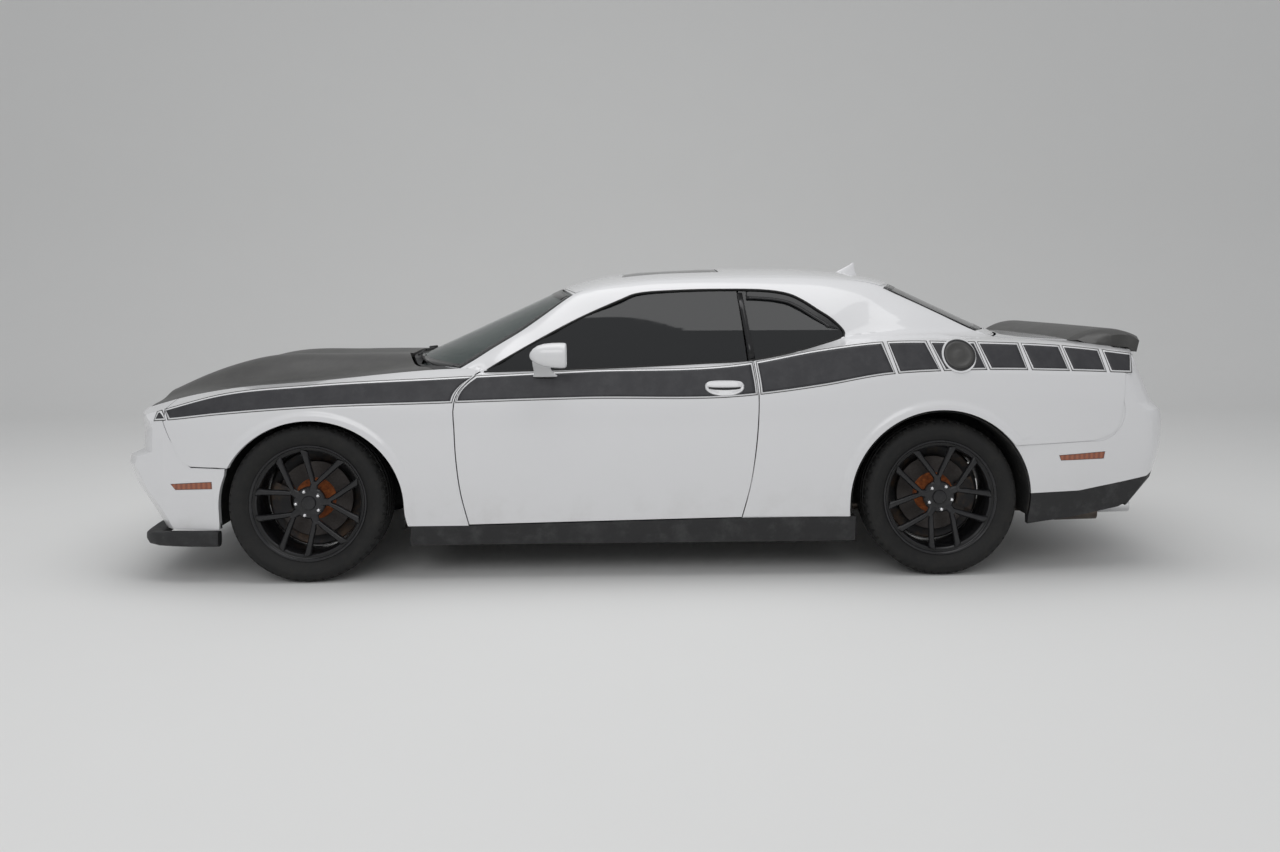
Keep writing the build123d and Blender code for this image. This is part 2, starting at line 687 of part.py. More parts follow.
def build():
    os.makedirs("parts", exist_ok=True)
    outer, cabin_outer, thin, whole = make_shells()
    print("shells done")
    inner30 = lower_body(skin, skin, skin, skin + 10)
    inner80 = lower_body(wall, skin, wall, wall)

    # Cutters
    hood_cut = plan_prism(hood_outline(door_gap), 768, 1100)
    lid_deck = plan_prism(lid_outline(0), 985, 1200)
    lid_cut = plan_prism(lid_outline(door_gap), 980, 1200)
    lid_drop = block((-2600, -2250), (-265, 265), (842, 1000))
    lid_drop_cut = block((-2600, -2250), (-270, 270), (837, 1000))
    screen_cut = plan_prism(windshield_outline(trim_gap), 880, 1500)
    backlight_cut = plan_prism(backlight_outline(trim_gap), 1050, 1500)
    side_glass_cut = side_prism(side_glass, 300, big)
    glass_split = side_prism([(-423, 1400), (-466, 960), (-474, 960), (-431, 1400)], 300, big)
    nose_zone = side_prism([*front_split, (1900, 100), (2700, 100), (2700, 1000), (2256, 1000)], 0, big)
    fender_zone = side_prism([(2252, 1100), (2252, 745), ((2196, 635), (2115, 537)), (1940, 533),
                              (1700, 257), (840, 257), (840, 1100)], 0, big)
    door_zone = door_prism(door_gap)
    cowl_zone = plan_prism([(880, -768), (880, 768), (1012, 768), ((1236, 0), (1012, -768))], 850, 1100)
    tail_zone = side_prism([*rear_split, (-1700, 100), (-2700, 100), (-2700, 936)], 0, big)
    print("cutters done")

    # Glass
    glass_band = cabin(glass_depth) - cabin(glass_depth + glass_thickness)
    windshield = glass_band & plan_prism(windshield_outline(0), 960, 1500)
    backlight = glass_band & plan_prism(backlight_outline(0), 1050, 1500)
    side_panes = (glass_band & side_prism(side_glass, 300, big)) - glass_split
    panes = sorted(side_panes.solids(), key=lambda solid: solid.center().X)
    panes = [pane for pane in panes if pane.volume > 50000]
    door_glass, quarter_glass = panes[-1], panes[0]
    print("glass done", [round(p.volume) for p in panes])
    save(windshield, "windshield")
    save(backlight, "rear_window")
    save(door_glass, "door_glass_left")
    save(other_side(door_glass), "door_glass_right")
    save(both(quarter_glass), "quarter_windows")

    # Hood, boot lid and roof
    hood = thin & plan_prism(hood_outline(0), 773, 1100)
    save(solids_of(hood, 100000), "hood")
    lid = (whole & lid_deck) - cabin(0) + (whole & lid_drop)
    save(solids_of(lid, 100000), "trunk_lid")
    roof_zone = plan_prism([(372 - 8, -548), ((452 - 8, 0), (372 - 8, 548)), (-1182 + 8, 520),
                            ((-1302 + 8, 0), (-1182 + 8, -520))], 1250, 1500)
    sunroof_zone = plan_prism([(130, -380), (130, 380), (-365, 380), (-365, -380)], 1350, 1500)
    roof = (whole & roof_zone) - sunroof_zone
    fin = side_prism([(-1030, 1425), (-1140, 1494), (-1152, 1450), (-1152, 1410)], -14, 14)
    roof = solids_of(roof, 100000) + fin
    sunroof = (cabin(2) - cabin(14)) & plan_prism([(126, -376), (126, 376), (-361, 376), (-361, -376)],
                                                  1350, 1500)
    tulip_zone = plan_prism([(-1618 - 12, -628), ((-1800 - 12, 0), (-1618 - 12, 628)), (-1690 + 9, 628),
                             ((-1860 + 9, 0), (-1690 + 9, -628))], 1050, 1200)
    save(roof, "roof_panel")
    save(sunroof, "sunroof_glass")
    print("top panels done")

    # Sides
    floor_zone = block((-3000, 3000), (-700, 700), (0, 420))
    side = trim_to_half(whole)
    side = side - door_zone - side_glass_cut - screen_cut - backlight_cut - hood_cut - lid_cut - lid_drop_cut
    side = side - roof_zone
    side = side - fender_zone - cowl_zone - block((1100, 3000), (0, 1100), (0, 2000)) - tulip_zone
    side = side - block((840, 1300), (0, 1100), (257, 1100))
    side = side - tail_zone - floor_zone - arch_cut(rear_arch)
    skirt_zone = side_prism([(1110, 100), (1110, 257), (839, 257), (-425, 280), (-960, 284), (-960, 100)],
                            800, 1100)
    side = side - skirt_zone
    sill = block((-440, 1060), (740, 826), (176, 318)) & inner80
    post = side_prism([(965, 264), (965, 900), (905, 950), (812, 950), (812, 318), (800, 264)], 760, 806)
    post = post & (inner30 + cabin_outer)
    foot = (cabin_outer - cabin(pillar)) & block((796, 985), (1, 1100), (900, 1100))
    foot = foot - screen_cut - side_glass_cut - door_zone
    side = side + sill + post + foot
    fuel_pocket = fuel_plane() * Cylinder(fuel_radius + door_gap, 40)
    side = solids_of(side, 500000)
    right = other_side(side)
    side = side - fuel_pocket
    save(side, "body_side_left")
    save(right, "body_side_right")
    print("sides done", [round(s.volume) for s in side.solids()])

    # Doors
    door = make_doors(whole - cabin(0) - block((-3000, 3000), (-700, 700), (0, 2000)), door_glass)
    save(door, "door_left")
    save(other_side(door), "door_right")
    mirror_left = make_mirror() - door
    save(mirror_left, "mirror_left")
    save(other_side(mirror_left), "mirror_right")

    # Fenders and ends
    fender = (trim_to_half(thin) & fender_zone) - hood_cut - arch_cut(front_arch) - cabin(0)
    fender = fender - door_zone - cowl_zone
    fender = fender - block((0, 3000), (0, 560), (0, 2000))
    save(both(solids_of(fender, 100000)), "front_fenders")
    nose = thin & (nose_zone + other_side(nose_zone))
    nose = nose - hood_cut - arch_cut(front_arch) - other_side(arch_cut(front_arch))
    nose = nose - block((2200, 2600), (-715, 715), (618, 764)) - block((2200, 2600), (-515, 515), (282, 440))
    nose = nose - block((1800, 3000), (-1000, 1000), (0, 244))
    nose = nose - block((0, 2250), (-800, 800), (0, 400))
    front_marker = side_prism(front_marker_outline, 300, big)
    nose_lens = nose & front_marker
    nose = nose - side_prism(grown(front_marker_outline, 2), 300, big) - other_side(
        side_prism(grown(front_marker_outline, 2), 300, big))
    save(nose, "front_bumper")
    upper_grille, lower_grille = make_grille()
    grille = upper_grille + lower_grille
    lamps = make_lamps()
    save(grille - lamps, "grille")
    save(lamps, "headlamps")
    save(make_splitter(), "front_splitter")

    tail = (whole & (tail_zone + other_side(tail_zone))) - block((-2270, 0), (-860, 860), (0, 2000))
    tail = tail - arch_cut(rear_arch) - other_side(arch_cut(rear_arch)) - lid_drop_cut - lid_cut
    lamp_zone = block((-2600, -2300), (300, 745), (842, 925))
    valance_zone = side_prism([(-1700, 380), (-2027, 392), (-2237, 428), (-2363, 452), (-2431, 476),
                               (-2700, 540), (-2700, 0), (-1700, 0)], -big, big)
    lamp = tail & lamp_zone
    bumper = tail - lamp_zone - other_side(lamp_zone) - valance_zone
    rear_marker = side_prism(rear_marker_outline, 300, big)
    tail_lens = trim_to_half(bumper & rear_marker) - lower_body(skin, skin, skin, skin)
    bumper = bumper - side_prism(grown(rear_marker_outline, 2), 300, big) - other_side(
        side_prism(grown(rear_marker_outline, 2), 300, big))
    save(both(nose_lens + tail_lens), "side_markers")
    for y in (-plate_pitch / 2, plate_pitch / 2):
        bumper = bumper - Pos(-2500, y, plate_z) * Rot(0, 90, 0) * Cylinder(plate_hole, 80)
    save(solids_of(bumper, 20000), "rear_bumper")
    save(both(solids_of(lamp, 20000)), "tail_lamps")
    valance = tail & valance_zone
    save(solids_of(valance, 20000), "rear_valance")
    skirt = (trim_to_half(whole) & skirt_zone)
    save(both(solids_of(skirt, 20000)), "side_skirts")
    print("ends done")

    cowl = (thin & cowl_zone) - cabin(0)
    save(solids_of(cowl, 20000), "cowl")

    # Chassis and cabin
    tulip = (whole & tulip_zone)
    save(make_underbody(inner80), "underbody")
    save(make_front_structure(inner30), "front_structure")
    save(tulip, "rear_deck_panel")
    save(make_front_subframe(), "front_subframe")
    save(make_rear_suspension(), "rear_suspension")
    save(make_exhaust(), "exhaust")
    save(block((1260, 1880), (-290, 290), (335, 860)), "engine_block")
    save(make_dashboard(), "dashboard")
    save(make_front_seats(), "front_seats")
    save(make_rear_seat(), "rear_seat")
    save(make_steering_wheel(), "steering_wheel")
    save(solids_of(make_spoiler(outer), 20000), "spoiler")
    filler = fuel_plane() * (Pos(0, 0, 4) * Cylinder(fuel_radius, 5))
    save(filler, "fuel_door")
    print("chassis done")

    # Wheels
    tyre = make_tyre()
    corners = [("front", "left", front_axle_x, front_half_track),
               ("front", "right", front_axle_x, -front_half_track),
               ("rear", "left", rear_axle_x, rear_half_track),
               ("rear", "right", rear_axle_x, -rear_half_track)]
    rims = {1: make_rim(1), -1: make_rim(-1)}
    for end, hand, x, y in corners:
        side_sign = 1 if y > 0 else -1
        place = Pos(x, y, wheel_z)
        save(place * tyre, f"tyre_{end}_{hand}")
        rest = Rot(0, wheel_rest[end], 0)
        save(place * rest * rims[side_sign], f"rim_{end}_{hand}")
        save(place * make_disc(side_sign), f"brake_disc_{end}_{hand}")
        if end == "front":
            save(place * make_knuckle(side_sign), f"knuckle_{hand}")


build()
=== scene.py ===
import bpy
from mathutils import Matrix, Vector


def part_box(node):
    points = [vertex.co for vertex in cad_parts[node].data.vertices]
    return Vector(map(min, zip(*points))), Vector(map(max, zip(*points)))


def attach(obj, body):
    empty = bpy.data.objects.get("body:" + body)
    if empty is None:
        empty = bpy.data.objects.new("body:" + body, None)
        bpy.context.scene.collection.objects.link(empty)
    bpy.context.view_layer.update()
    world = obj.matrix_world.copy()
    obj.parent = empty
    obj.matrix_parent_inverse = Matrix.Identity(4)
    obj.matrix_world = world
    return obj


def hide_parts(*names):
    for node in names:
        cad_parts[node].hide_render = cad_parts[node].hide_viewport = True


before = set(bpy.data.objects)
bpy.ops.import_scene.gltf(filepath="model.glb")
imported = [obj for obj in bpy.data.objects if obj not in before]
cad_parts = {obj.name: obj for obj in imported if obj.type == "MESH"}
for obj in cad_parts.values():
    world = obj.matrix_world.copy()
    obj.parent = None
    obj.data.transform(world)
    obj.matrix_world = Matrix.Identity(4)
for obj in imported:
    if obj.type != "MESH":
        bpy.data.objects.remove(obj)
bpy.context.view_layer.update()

import bpy
import bmesh
from bisect import bisect_right
from math import atan2, cos, degrees, hypot, pi, radians, sin, sqrt
from mathutils import Matrix, Vector

mm = 0.001  # tables below are in millimetres, like the workshop drawings


def mix(first, second, share):
    return first + (second - first) * share


# camera

cameraSettings = {"place": (0.1082, 6.037, 1.359), "yaw": 0.0367, "roll": -0.0031,
                  "lens": 30.94, "shift": (-0.0211, -0.1086)}
studioSettings = {"floorHalf": 24.0, "wall": -8.5, "sweep": 2.6, "height": 9.0,
                  "floorColour": (0.80, 0.80, 0.79), "sky": 0.5}


def makeCamera(settings):
    data = bpy.data.cameras.new("photoCamera")
    data.lens = settings["lens"]
    data.shift_x, data.shift_y = settings["shift"]
    camera = bpy.data.objects.new("photoCamera", data)
    turn = settings["yaw"]
    axes = Matrix(((-cos(turn), 0, sin(turn)), (sin(turn), 0, cos(turn)), (0, 1, 0))).to_4x4()
    camera.matrix_world = (Matrix.Translation(settings["place"]) @ axes
                           @ Matrix.Rotation(settings["roll"], 4, "Z"))
    bpy.context.scene.collection.objects.link(camera)
    bpy.context.scene.camera = camera


makeCamera(cameraSettings)
bpy.context.scene.view_settings.view_transform = "Standard"
print("camera set")


# shader helpers

class Wire:
    # one socket of a node tree, with the usual arithmetic
    def __init__(self, tree, socket):
        self.tree = tree
        self.socket = socket

    def calc(self, operation, *values):
        return addNode(self.tree, "ShaderNodeMath", {"operation": operation}, dict(enumerate(values)))

    def __add__(self, other):
        return self.calc("ADD", self, other)

    def __radd__(self, other):
        return self.calc("ADD", other, self)

    def __sub__(self, other):
        return self.calc("SUBTRACT", self, other)

    def __rsub__(self, other):
        return self.calc("SUBTRACT", other, self)

    def __mul__(self, other):
        return self.calc("MULTIPLY", self, other)

    def __rmul__(self, other):
        return self.calc("MULTIPLY", other, self)

    def __truediv__(self, other):
        return self.calc("DIVIDE", self, other)

    def __pow__(self, other):
        return self.calc("POWER", self, other)

    def over(self, low, high):  # 0 below low, 1 above high
        return addNode(self.tree, "ShaderNodeMapRange", {"interpolation_type": "SMOOTHSTEP"},
                       {"Value": self, "From Min": low, "From Max": high})


def addNode(tree, kind, settings=None, inputs=None, output=0):
    node = tree.nodes.new(kind)
    for name, value in (settings or {}).items():
        if name == "stops":
            for index, (place, colour) in enumerate(value):
                stops = node.color_ramp.elements
                stop = stops[index] if index < 2 else stops.new(place)
                stop.position = place
                stop.color = (*colour, 1)
        else:
            setattr(node, name, value)
    for name, value in (inputs or {}).items():
        socket = node.inputs[name]
        if isinstance(value, Wire):
            tree.links.new(value.socket, socket)
        elif hasattr(value, "__len__") and len(socket.default_value) > len(value):
            socket.default_value = (*value, 1)
        else:
            socket.default_value = value
    return Wire(tree, node.outputs[output])


class Finish:
    # a material being put together: its tree, its shader and the place on the object
    def __init__(self, name, **fixed):
        self.material = bpy.data.materials.new(name)
        self.material.use_nodes = True
        self.tree = self.material.node_tree
        self.shader = self.tree.nodes["Principled BSDF"]
        self.place = self.node("ShaderNodeTexCoord", output=3)
        for socket, value in fixed.items():
            self.set(socket.replace("_", " "), value)

    def node(self, kind, settings=None, inputs=None, output=0):
        return addNode(self.tree, kind, settings, inputs, output)

    def set(self, socket, value):
        target = self.shader.inputs[socket]
        if isinstance(value, Wire):
            self.tree.links.new(value.socket, target)
        elif hasattr(value, "__len__") and len(target.default_value) > len(value):
            target.default_value = (*value, 1)
        else:
            target.default_value = value

    def noise(self, scale, detail=2.0, rough=0.5, squeeze=None):
        place = self.place
        if squeeze:
            place = self.node("ShaderNodeMapping", None, {"Vector": place, "Scale": squeeze})
        return self.node("ShaderNodeTexNoise", None, {"Vector": place, "Scale": scale,
                                                      "Detail": detail, "Roughness": rough})

    def blend(self, factor, first, second):
        return self.node("ShaderNodeMix", {"data_type": "RGBA"},
                         {"Factor": factor, 6: first, 7: second}, output=2)

    def height(self):  # the object's own z
        return self.node("ShaderNodeSeparateXYZ", None, {"Vector": self.place}, output=2)

    def relief(self, height, strength, distance):
        bump = self.node("ShaderNodeBump", None,
                         {"Height": height, "Strength": strength, "Distance": distance})
        self.set("Normal", bump)


# finishes

paintSettings = {"colour": (0.79, 0.79, 0.80), "dust": (0.50, 0.48, 0.45), "dustTop": 0.52}
# satin black of the hood and spoiler: colour and sheen lifted above the real black as a painted sky
# reflection, beside its real gloss
wrapWithPaintedReflection = {"colour": (0.036, 0.035, 0.033), "sheen": (0.052, 0.051, 0.048)}


def makePaint(name, settings):
    paint = Finish(name, Coat_Weight=1.0, Coat_Roughness=0.03, Roughness=0.34)
    grime = paint.height().over(settings["dustTop"], 0.12) * paint.noise(6, 5, 0.65).over(0.42, 0.75)
    speck = paint.noise(260, 2).over(0.60, 0.74) * paint.noise(3, 3)
    shade = paint.blend(paint.noise(1.4, 2), settings["colour"],
                        tuple(part * 0.975 for part in settings["colour"]))
    paint.set("Base Color", paint.blend(grime * 0.35 + speck * 0.03, shade, settings["dust"]))
    paint.set("Roughness", 0.30 + 0.2 * grime + 0.05 * paint.noise(40, 3))
    paint.relief(paint.noise(420, 1), 0.03, 0.0004)
    return paint.material


def makeWrap(name, settings, rough=0.38, shine=0.45):
    wrap = Finish(name, Specular_IOR_Level=shine)
    # lighter sheen patches mixed into the base colour by noise: a painted sheen
    wrap.set("Base Color", wrap.blend(wrap.noise(14, 5, 0.7).over(0.35, 0.75),
                                      settings["colour"], settings["sheen"]))
    wrap.set("Roughness", rough + 0.09 * wrap.noise(60, 4) + 0.06 * wrap.noise(5, 3))
    wrap.relief(wrap.noise(1500, 1), 0.06, 0.0003)
    return wrap.material


def makeGrain(name, colour, worn, rough, scale=900, depth=0.0006, metal=0.0):
    grain = Finish(name, Metallic=metal)
    wear = grain.noise(9, 6, 0.7).over(0.45, 0.72)
    grain.set("Base Color", grain.blend(wear, colour, worn))
    grain.set("Roughness", rough - 0.08 * wear + 0.07 * grain.noise(scale * 0.4, 2))
    cells = grain.node("ShaderNodeTexVoronoi", None, {"Vector": grain.place, "Scale": scale})
    grain.relief(cells, 0.35, depth)
    return grain.material


def makeGlass(name, colour, alpha, rough=0.02):
    glass = Finish(name, Base_Color=colour, Alpha=alpha, IOR=1.5, Specular_IOR_Level=0.6)
    film = glass.noise(5, 4, 0.6)
    glass.set("Roughness", rough + 0.03 * film.over(0.5, 0.8))
    glass.material.use_backface_culling = False
    return glass.material


def makeMetal(name, colour, dark, rough, brush=None):
    metal = Finish(name, Metallic=1.0)
    streak = metal.noise(120, 4, 0.6, brush) if brush else metal.noise(35, 4, 0.6)
    metal.set("Base Color", metal.blend(streak, colour, dark))
    metal.set("Roughness", rough + 0.15 * streak)
    metal.relief(streak, 0.15, 0.0003)
    return metal.material


def makeRubber(name):
    rubber = Finish(name, Specular_IOR_Level=0.35)
    dust = rubber.noise(22, 6, 0.7).over(0.42, 0.8)
    rubber.set("Base Color", rubber.blend(dust, (0.010, 0.010, 0.010), (0.026, 0.025, 0.023)))
    rubber.set("Roughness", 0.62 + 0.22 * dust)
    rubber.relief(rubber.noise(700, 3), 0.25, 0.0005)
    return rubber.material


def makeRust(name):
    rust = Finish(name, Metallic=0.25)
    patch = rust.noise(46, 6, 0.7)
    rust.set("Base Color", rust.node("ShaderNodeValToRGB", {"stops": [
        (0.30, (0.09, 0.025, 0.010)), (0.70, (0.52, 0.17, 0.045)), (0.52, (0.33, 0.09, 0.022))]},
        {"Fac": patch}))
    rust.set("Roughness", 0.7 + 0.2 * patch)
    rust.relief(patch, 0.5, 0.0012)
    return rust.material


def makeLens(name, colour, deep, alpha=1.0, ribs=260):
    lens = Finish(name, Roughness=0.08, Coat_Weight=1.0, Coat_Roughness=0.03, Alpha=alpha)
    wave = lens.node("ShaderNodeTexWave", {"bands_direction": "X"},
                     {"Vector": lens.place, "Scale": ribs / 20, "Distortion": 0.0})
    lens.set("Base Color", lens.blend(wave, colour, deep))
    lens.relief(wave, 0.3, 0.001)
    return lens.material


finishes = {
    "stripeBlack": makeWrap("stripeBlack", {"colour": (0.030, 0.030, 0.034),
                                            "sheen": (0.046, 0.046, 0.050)}, 0.42),
    "whitePaint": makePaint("whitePaint", paintSettings),
    "satinBlack": makeWrap("satinBlack", wrapWithPaintedReflection, 0.32, 0.75),
    "glossBlack": makeWrap("glossBlack", {"colour": (0.010, 0.010, 0.011),
                                          "sheen": (0.016, 0.016, 0.017)}, 0.10),
    "moulding": makeGrain("moulding", (0.017, 0.017, 0.018), (0.040, 0.040, 0.041), 0.58),
    "softTrim": makeGrain("softTrim", (0.022, 0.022, 0.024), (0.035, 0.035, 0.037), 0.66, 700),
    "underseal": makeGrain("underseal", (0.014, 0.014, 0.014), (0.050, 0.046, 0.040), 0.86, 160, 0.003),
    "chassisSteel": makeGrain("chassisSteel", (0.045, 0.045, 0.047), (0.13, 0.085, 0.055), 0.55, 300, 0.001,
                              0.6),
    "engineIron": makeGrain("engineIron", (0.07, 0.07, 0.075), (0.16, 0.15, 0.14), 0.5, 220, 0.002, 0.7),
    "exhaustSteel": makeMetal("exhaustSteel", (0.24, 0.22, 0.20), (0.13, 0.10, 0.08), 0.34),
    "chrome": makeMetal("chrome", (0.86, 0.86, 0.87), (0.72, 0.72, 0.74), 0.07),
    "discIron": makeMetal("discIron", (0.085, 0.08, 0.08), (0.045, 0.038, 0.033), 0.34, (1, 12, 1)),
    "rust": makeRust("rust"),
    "rubber": makeRubber("rubber"),
    "rimBlack": makeWrap("rimBlack", {"colour": (0.012, 0.012, 0.013), "sheen": (0.020, 0.020, 0.022)}, 0.14),
    "sideGlass": makeGlass("sideGlass", (0.012, 0.013, 0.014), 0.93),
    "screenGlass": makeGlass("screenGlass", (0.060, 0.085, 0.080), 0.60),
    "lampGlass": makeGlass("lampGlass", (0.55, 0.56, 0.58), 0.35),
    "redLens": makeLens("redLens", (0.30, 0.008, 0.008), (0.16, 0.004, 0.004)),
    "amberLens": makeLens("amberLens", (0.36, 0.10, 0.035), (0.22, 0.05, 0.018)),
    "leather": makeGrain("leather", (0.024, 0.024, 0.026), (0.040, 0.039, 0.040), 0.52, 420, 0.0011),
}
print("finishes made:", len(finishes))


# floor and lamps

def makeStudio(settings):
    half, wall, sweep, height = (settings[key] for key in ("floorHalf", "wall", "sweep", "height"))
    bm = bmesh.new()
    first = bm.verts.new((-half, half, 0))
    last = bm.verts.new((half, half, 0))
    front = [bm.edges.new((first, last))]
    steps = [(wall + sweep, 0)] + [
        (wall + sweep - sweep * sin(radians(angle)), sweep - sweep * cos(radians(angle)))
        for angle in range(10, 91, 10)] + [(wall, height)]
    for y, z in steps:
        made = bmesh.ops.extrude_edge_only(bm, edges=front)["geom"]
        front = [edge for edge in made if isinstance(edge, bmesh.types.BMEdge)]
        for vert in {vert for edge in front for vert in edge.verts}:
            vert.co.y, vert.co.z = y, z
    bmesh.ops.recalc_face_normals(bm, faces=bm.faces)
    mesh = bpy.data.meshes.new("studioSweep")
    bm.to_mesh(mesh)
    bm.free()
    for face in mesh.polygons:
        face.use_smooth = True
    sheet = bpy.data.objects.new("studioSweep", mesh)
    bpy.context.scene.collection.objects.link(sheet)
    floor = Finish("studioFloor", Roughness=0.8, Specular_IOR_Level=0.2)
    floor.set("Base Color", floor.blend(floor.noise(2, 3), settings["floorColour"],
                                        tuple(part * 0.985 for part in settings["floorColour"])))
    mesh.materials.append(floor.material)
    world = bpy.data.worlds.new("studioSky")
    bpy.context.scene.world = world
    world.use_nodes = True
    background = world.node_tree.nodes["Background"]
    background.inputs["Color"].default_value = (0.97, 0.98, 1.0, 1)
    background.inputs["Strength"].default_value = settings["sky"]


lampSettings = [
    # name, place, aimed at, size, watts
    ("overheadSoftbox", (0.3, 0.6, 6.2), (0, 0, 0.6), (7.5, 4.5), 150),
    ("cameraSoftbox", (1.5, 7.5, 4.6), (0, 0, 0.7), (6.0, 3.0), 95),
]


def makeLamps(settings):
    for name, place, aim, size, watts in settings:
        data = bpy.data.lights.new(name, "AREA")
        data.shape = "RECTANGLE"
        data.size, data.size_y = size
        data.energy = watts
        lamp = bpy.data.objects.new(name, data)
        lamp.matrix_world = (Matrix.Translation(place)
                             @ (Vector(aim) - Vector(place)).to_track_quat("-Z", "Y").to_matrix().to_4x4())
        bpy.context.scene.collection.objects.link(lamp)


makeStudio(studioSettings)
makeLamps(lampSettings)
print("studio and lamps set")


# pieces

def place(bm, name, finish, body, slot, nodes=(), sharp=32, levels=0):
    # turns a finished bmesh in metres into a piece of the car
    mesh = bpy.data.meshes.new(name)
    bm.to_mesh(mesh)
    bm.free()
    for face in mesh.polygons:
        face.use_smooth = True
    mesh.set_sharp_from_angle(angle=radians(sharp))
    mesh.materials.append(finishes[finish])
    piece = bpy.data.objects.new(name, mesh)
    bpy.context.scene.collection.objects.link(piece)
    if levels:
        smooth = piece.modifiers.new("smooth", "SUBSURF")
        smooth.levels = smooth.render_levels = levels
    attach(piece, body)
    if nodes:
        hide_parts(*nodes)
    return piece


def closed(bm):
    bmesh.ops.remove_doubles(bm, verts=bm.verts, dist=0.00001)
    bmesh.ops.recalc_face_normals(bm, faces=bm.faces)
    return bm


def spunRing(profile, steps, closeProfile=True):
    # a profile of (radius, offset along the axle) in millimetres, spun round the axle
    bm = bmesh.new()
    verts = [bm.verts.new((radius * mm, offset * mm, 0)) for radius, offset in profile]
    pairs = list(zip(verts, verts[1:] + verts[:1])) if closeProfile else list(zip(verts, verts[1:]))
    edges = [bm.edges.new(pair) for pair in pairs]
    bmesh.ops.spin(bm, geom=verts + edges, cent=(0, 0, 0), axis=(0, 1, 0), angle=2 * pi,
                   steps=steps, use_merge=True)
    closed(bm)
    return bm


def joined(*meshes):
    whole = bmesh.new()
    for bm in meshes:
        mesh = bpy.data.meshes.new("part")
        bm.to_mesh(mesh)
        bm.free()
        whole.from_mesh(mesh)
        bpy.data.meshes.remove(mesh)
    return whole


def flipped(bm):
    # the other hand of a mesh, mirrored across the car's middle
    bmesh.ops.scale(bm, vec=(1, -1, 1), verts=bm.verts)
    bmesh.ops.reverse_faces(bm, faces=bm.faces)
    return bm


def moved(bm, offset):
    bmesh.ops.translate(bm, vec=offset, verts=bm.verts)
    return bm


# tyres

tyreSettings = {"steps": 168, "sipeDepth": 3.0}
tyreHalf = [  # radius, offset: outer half of the section from the bead to the tread's middle
    (246, 88), (262, 92), (272, 97), (280, 104), (292, 112), (306, 118.5), (318, 121.6), (322, 122.4),
    (330, 121.8), (338, 119.0), (346, 114), (353, 108.5), (358.5, 101), (361, 94), (361.6, 70),
    (354, 68), (354, 58), (362.6, 56), (363.6, 30), (355.6, 28), (355.6, 18), (363.9, 16), (364.2, 0),
]


def makeTyre(settings):
    profile = tyreHalf + [(radius, -offset) for radius, offset in reversed(tyreHalf[:-1])]
    inner = [(250, -84), (300, -106), (340, -100), (345, 0), (340, 100), (300, 106), (250, 84)]
    bm = spunRing(profile + inner, settings["steps"])
    steps = settings["steps"]
    ribs = []
    for face in bm.faces:
        middle = face.calc_center_median()
        reach = hypot(middle.x, middle.z)
        turn = int(round(atan2(middle.z, middle.x) / (2 * pi) * steps - 0.5)) % steps
        wide = abs(middle.y)
        if reach > 0.3585 and wide > 0.060 and wide < 0.098 and turn % 3 == 0:
            ribs.append(face)
        if reach > 0.3605 and 0.030 < wide < 0.056 and turn % 4 == 1:
            ribs.append(face)
        if 0.3440 < reach < 0.3590 and 0.100 < wide < 0.113 and turn % 3 == 0:
            ribs.append(face)
    bmesh.ops.inset_individual(bm, faces=ribs, thickness=0.0022, depth=-settings["sipeDepth"] * mm)
    return bm


# rims with forked spokes

rimSettings = {"steps": 120, "spokes": 5, "phase": 0.0, "fork": 104, "prong": 21.5, "tip": 245,
               "faceHub": 84, "faceFork": 90, "faceTip": 93, "depth": 34}
rimProfile = [
    (266, 92), (269.5, 95), (270.6, 98), (268.5, 100.2), (264, 100.6), (258.5, 97), (255.5, 91),
    (246, 86), (240, 80), (236.5, 60), (232, 20), (231, -60), (236, -92), (262, -98.5), (269.5, -97),
    (270, -92), (247, -86), (243.5, -60), (240, 10), (242.6, 74), (248, 84),
]


def spokeLine(settings):
    # where one Y spoke forks, and how far along and sideways its prong tips reach
    fork, tip, prong = settings["fork"], settings["tip"], radians(settings["prong"])
    reach = tip * cos(prong)
    side = tip * sin(prong)
    return fork, reach, side


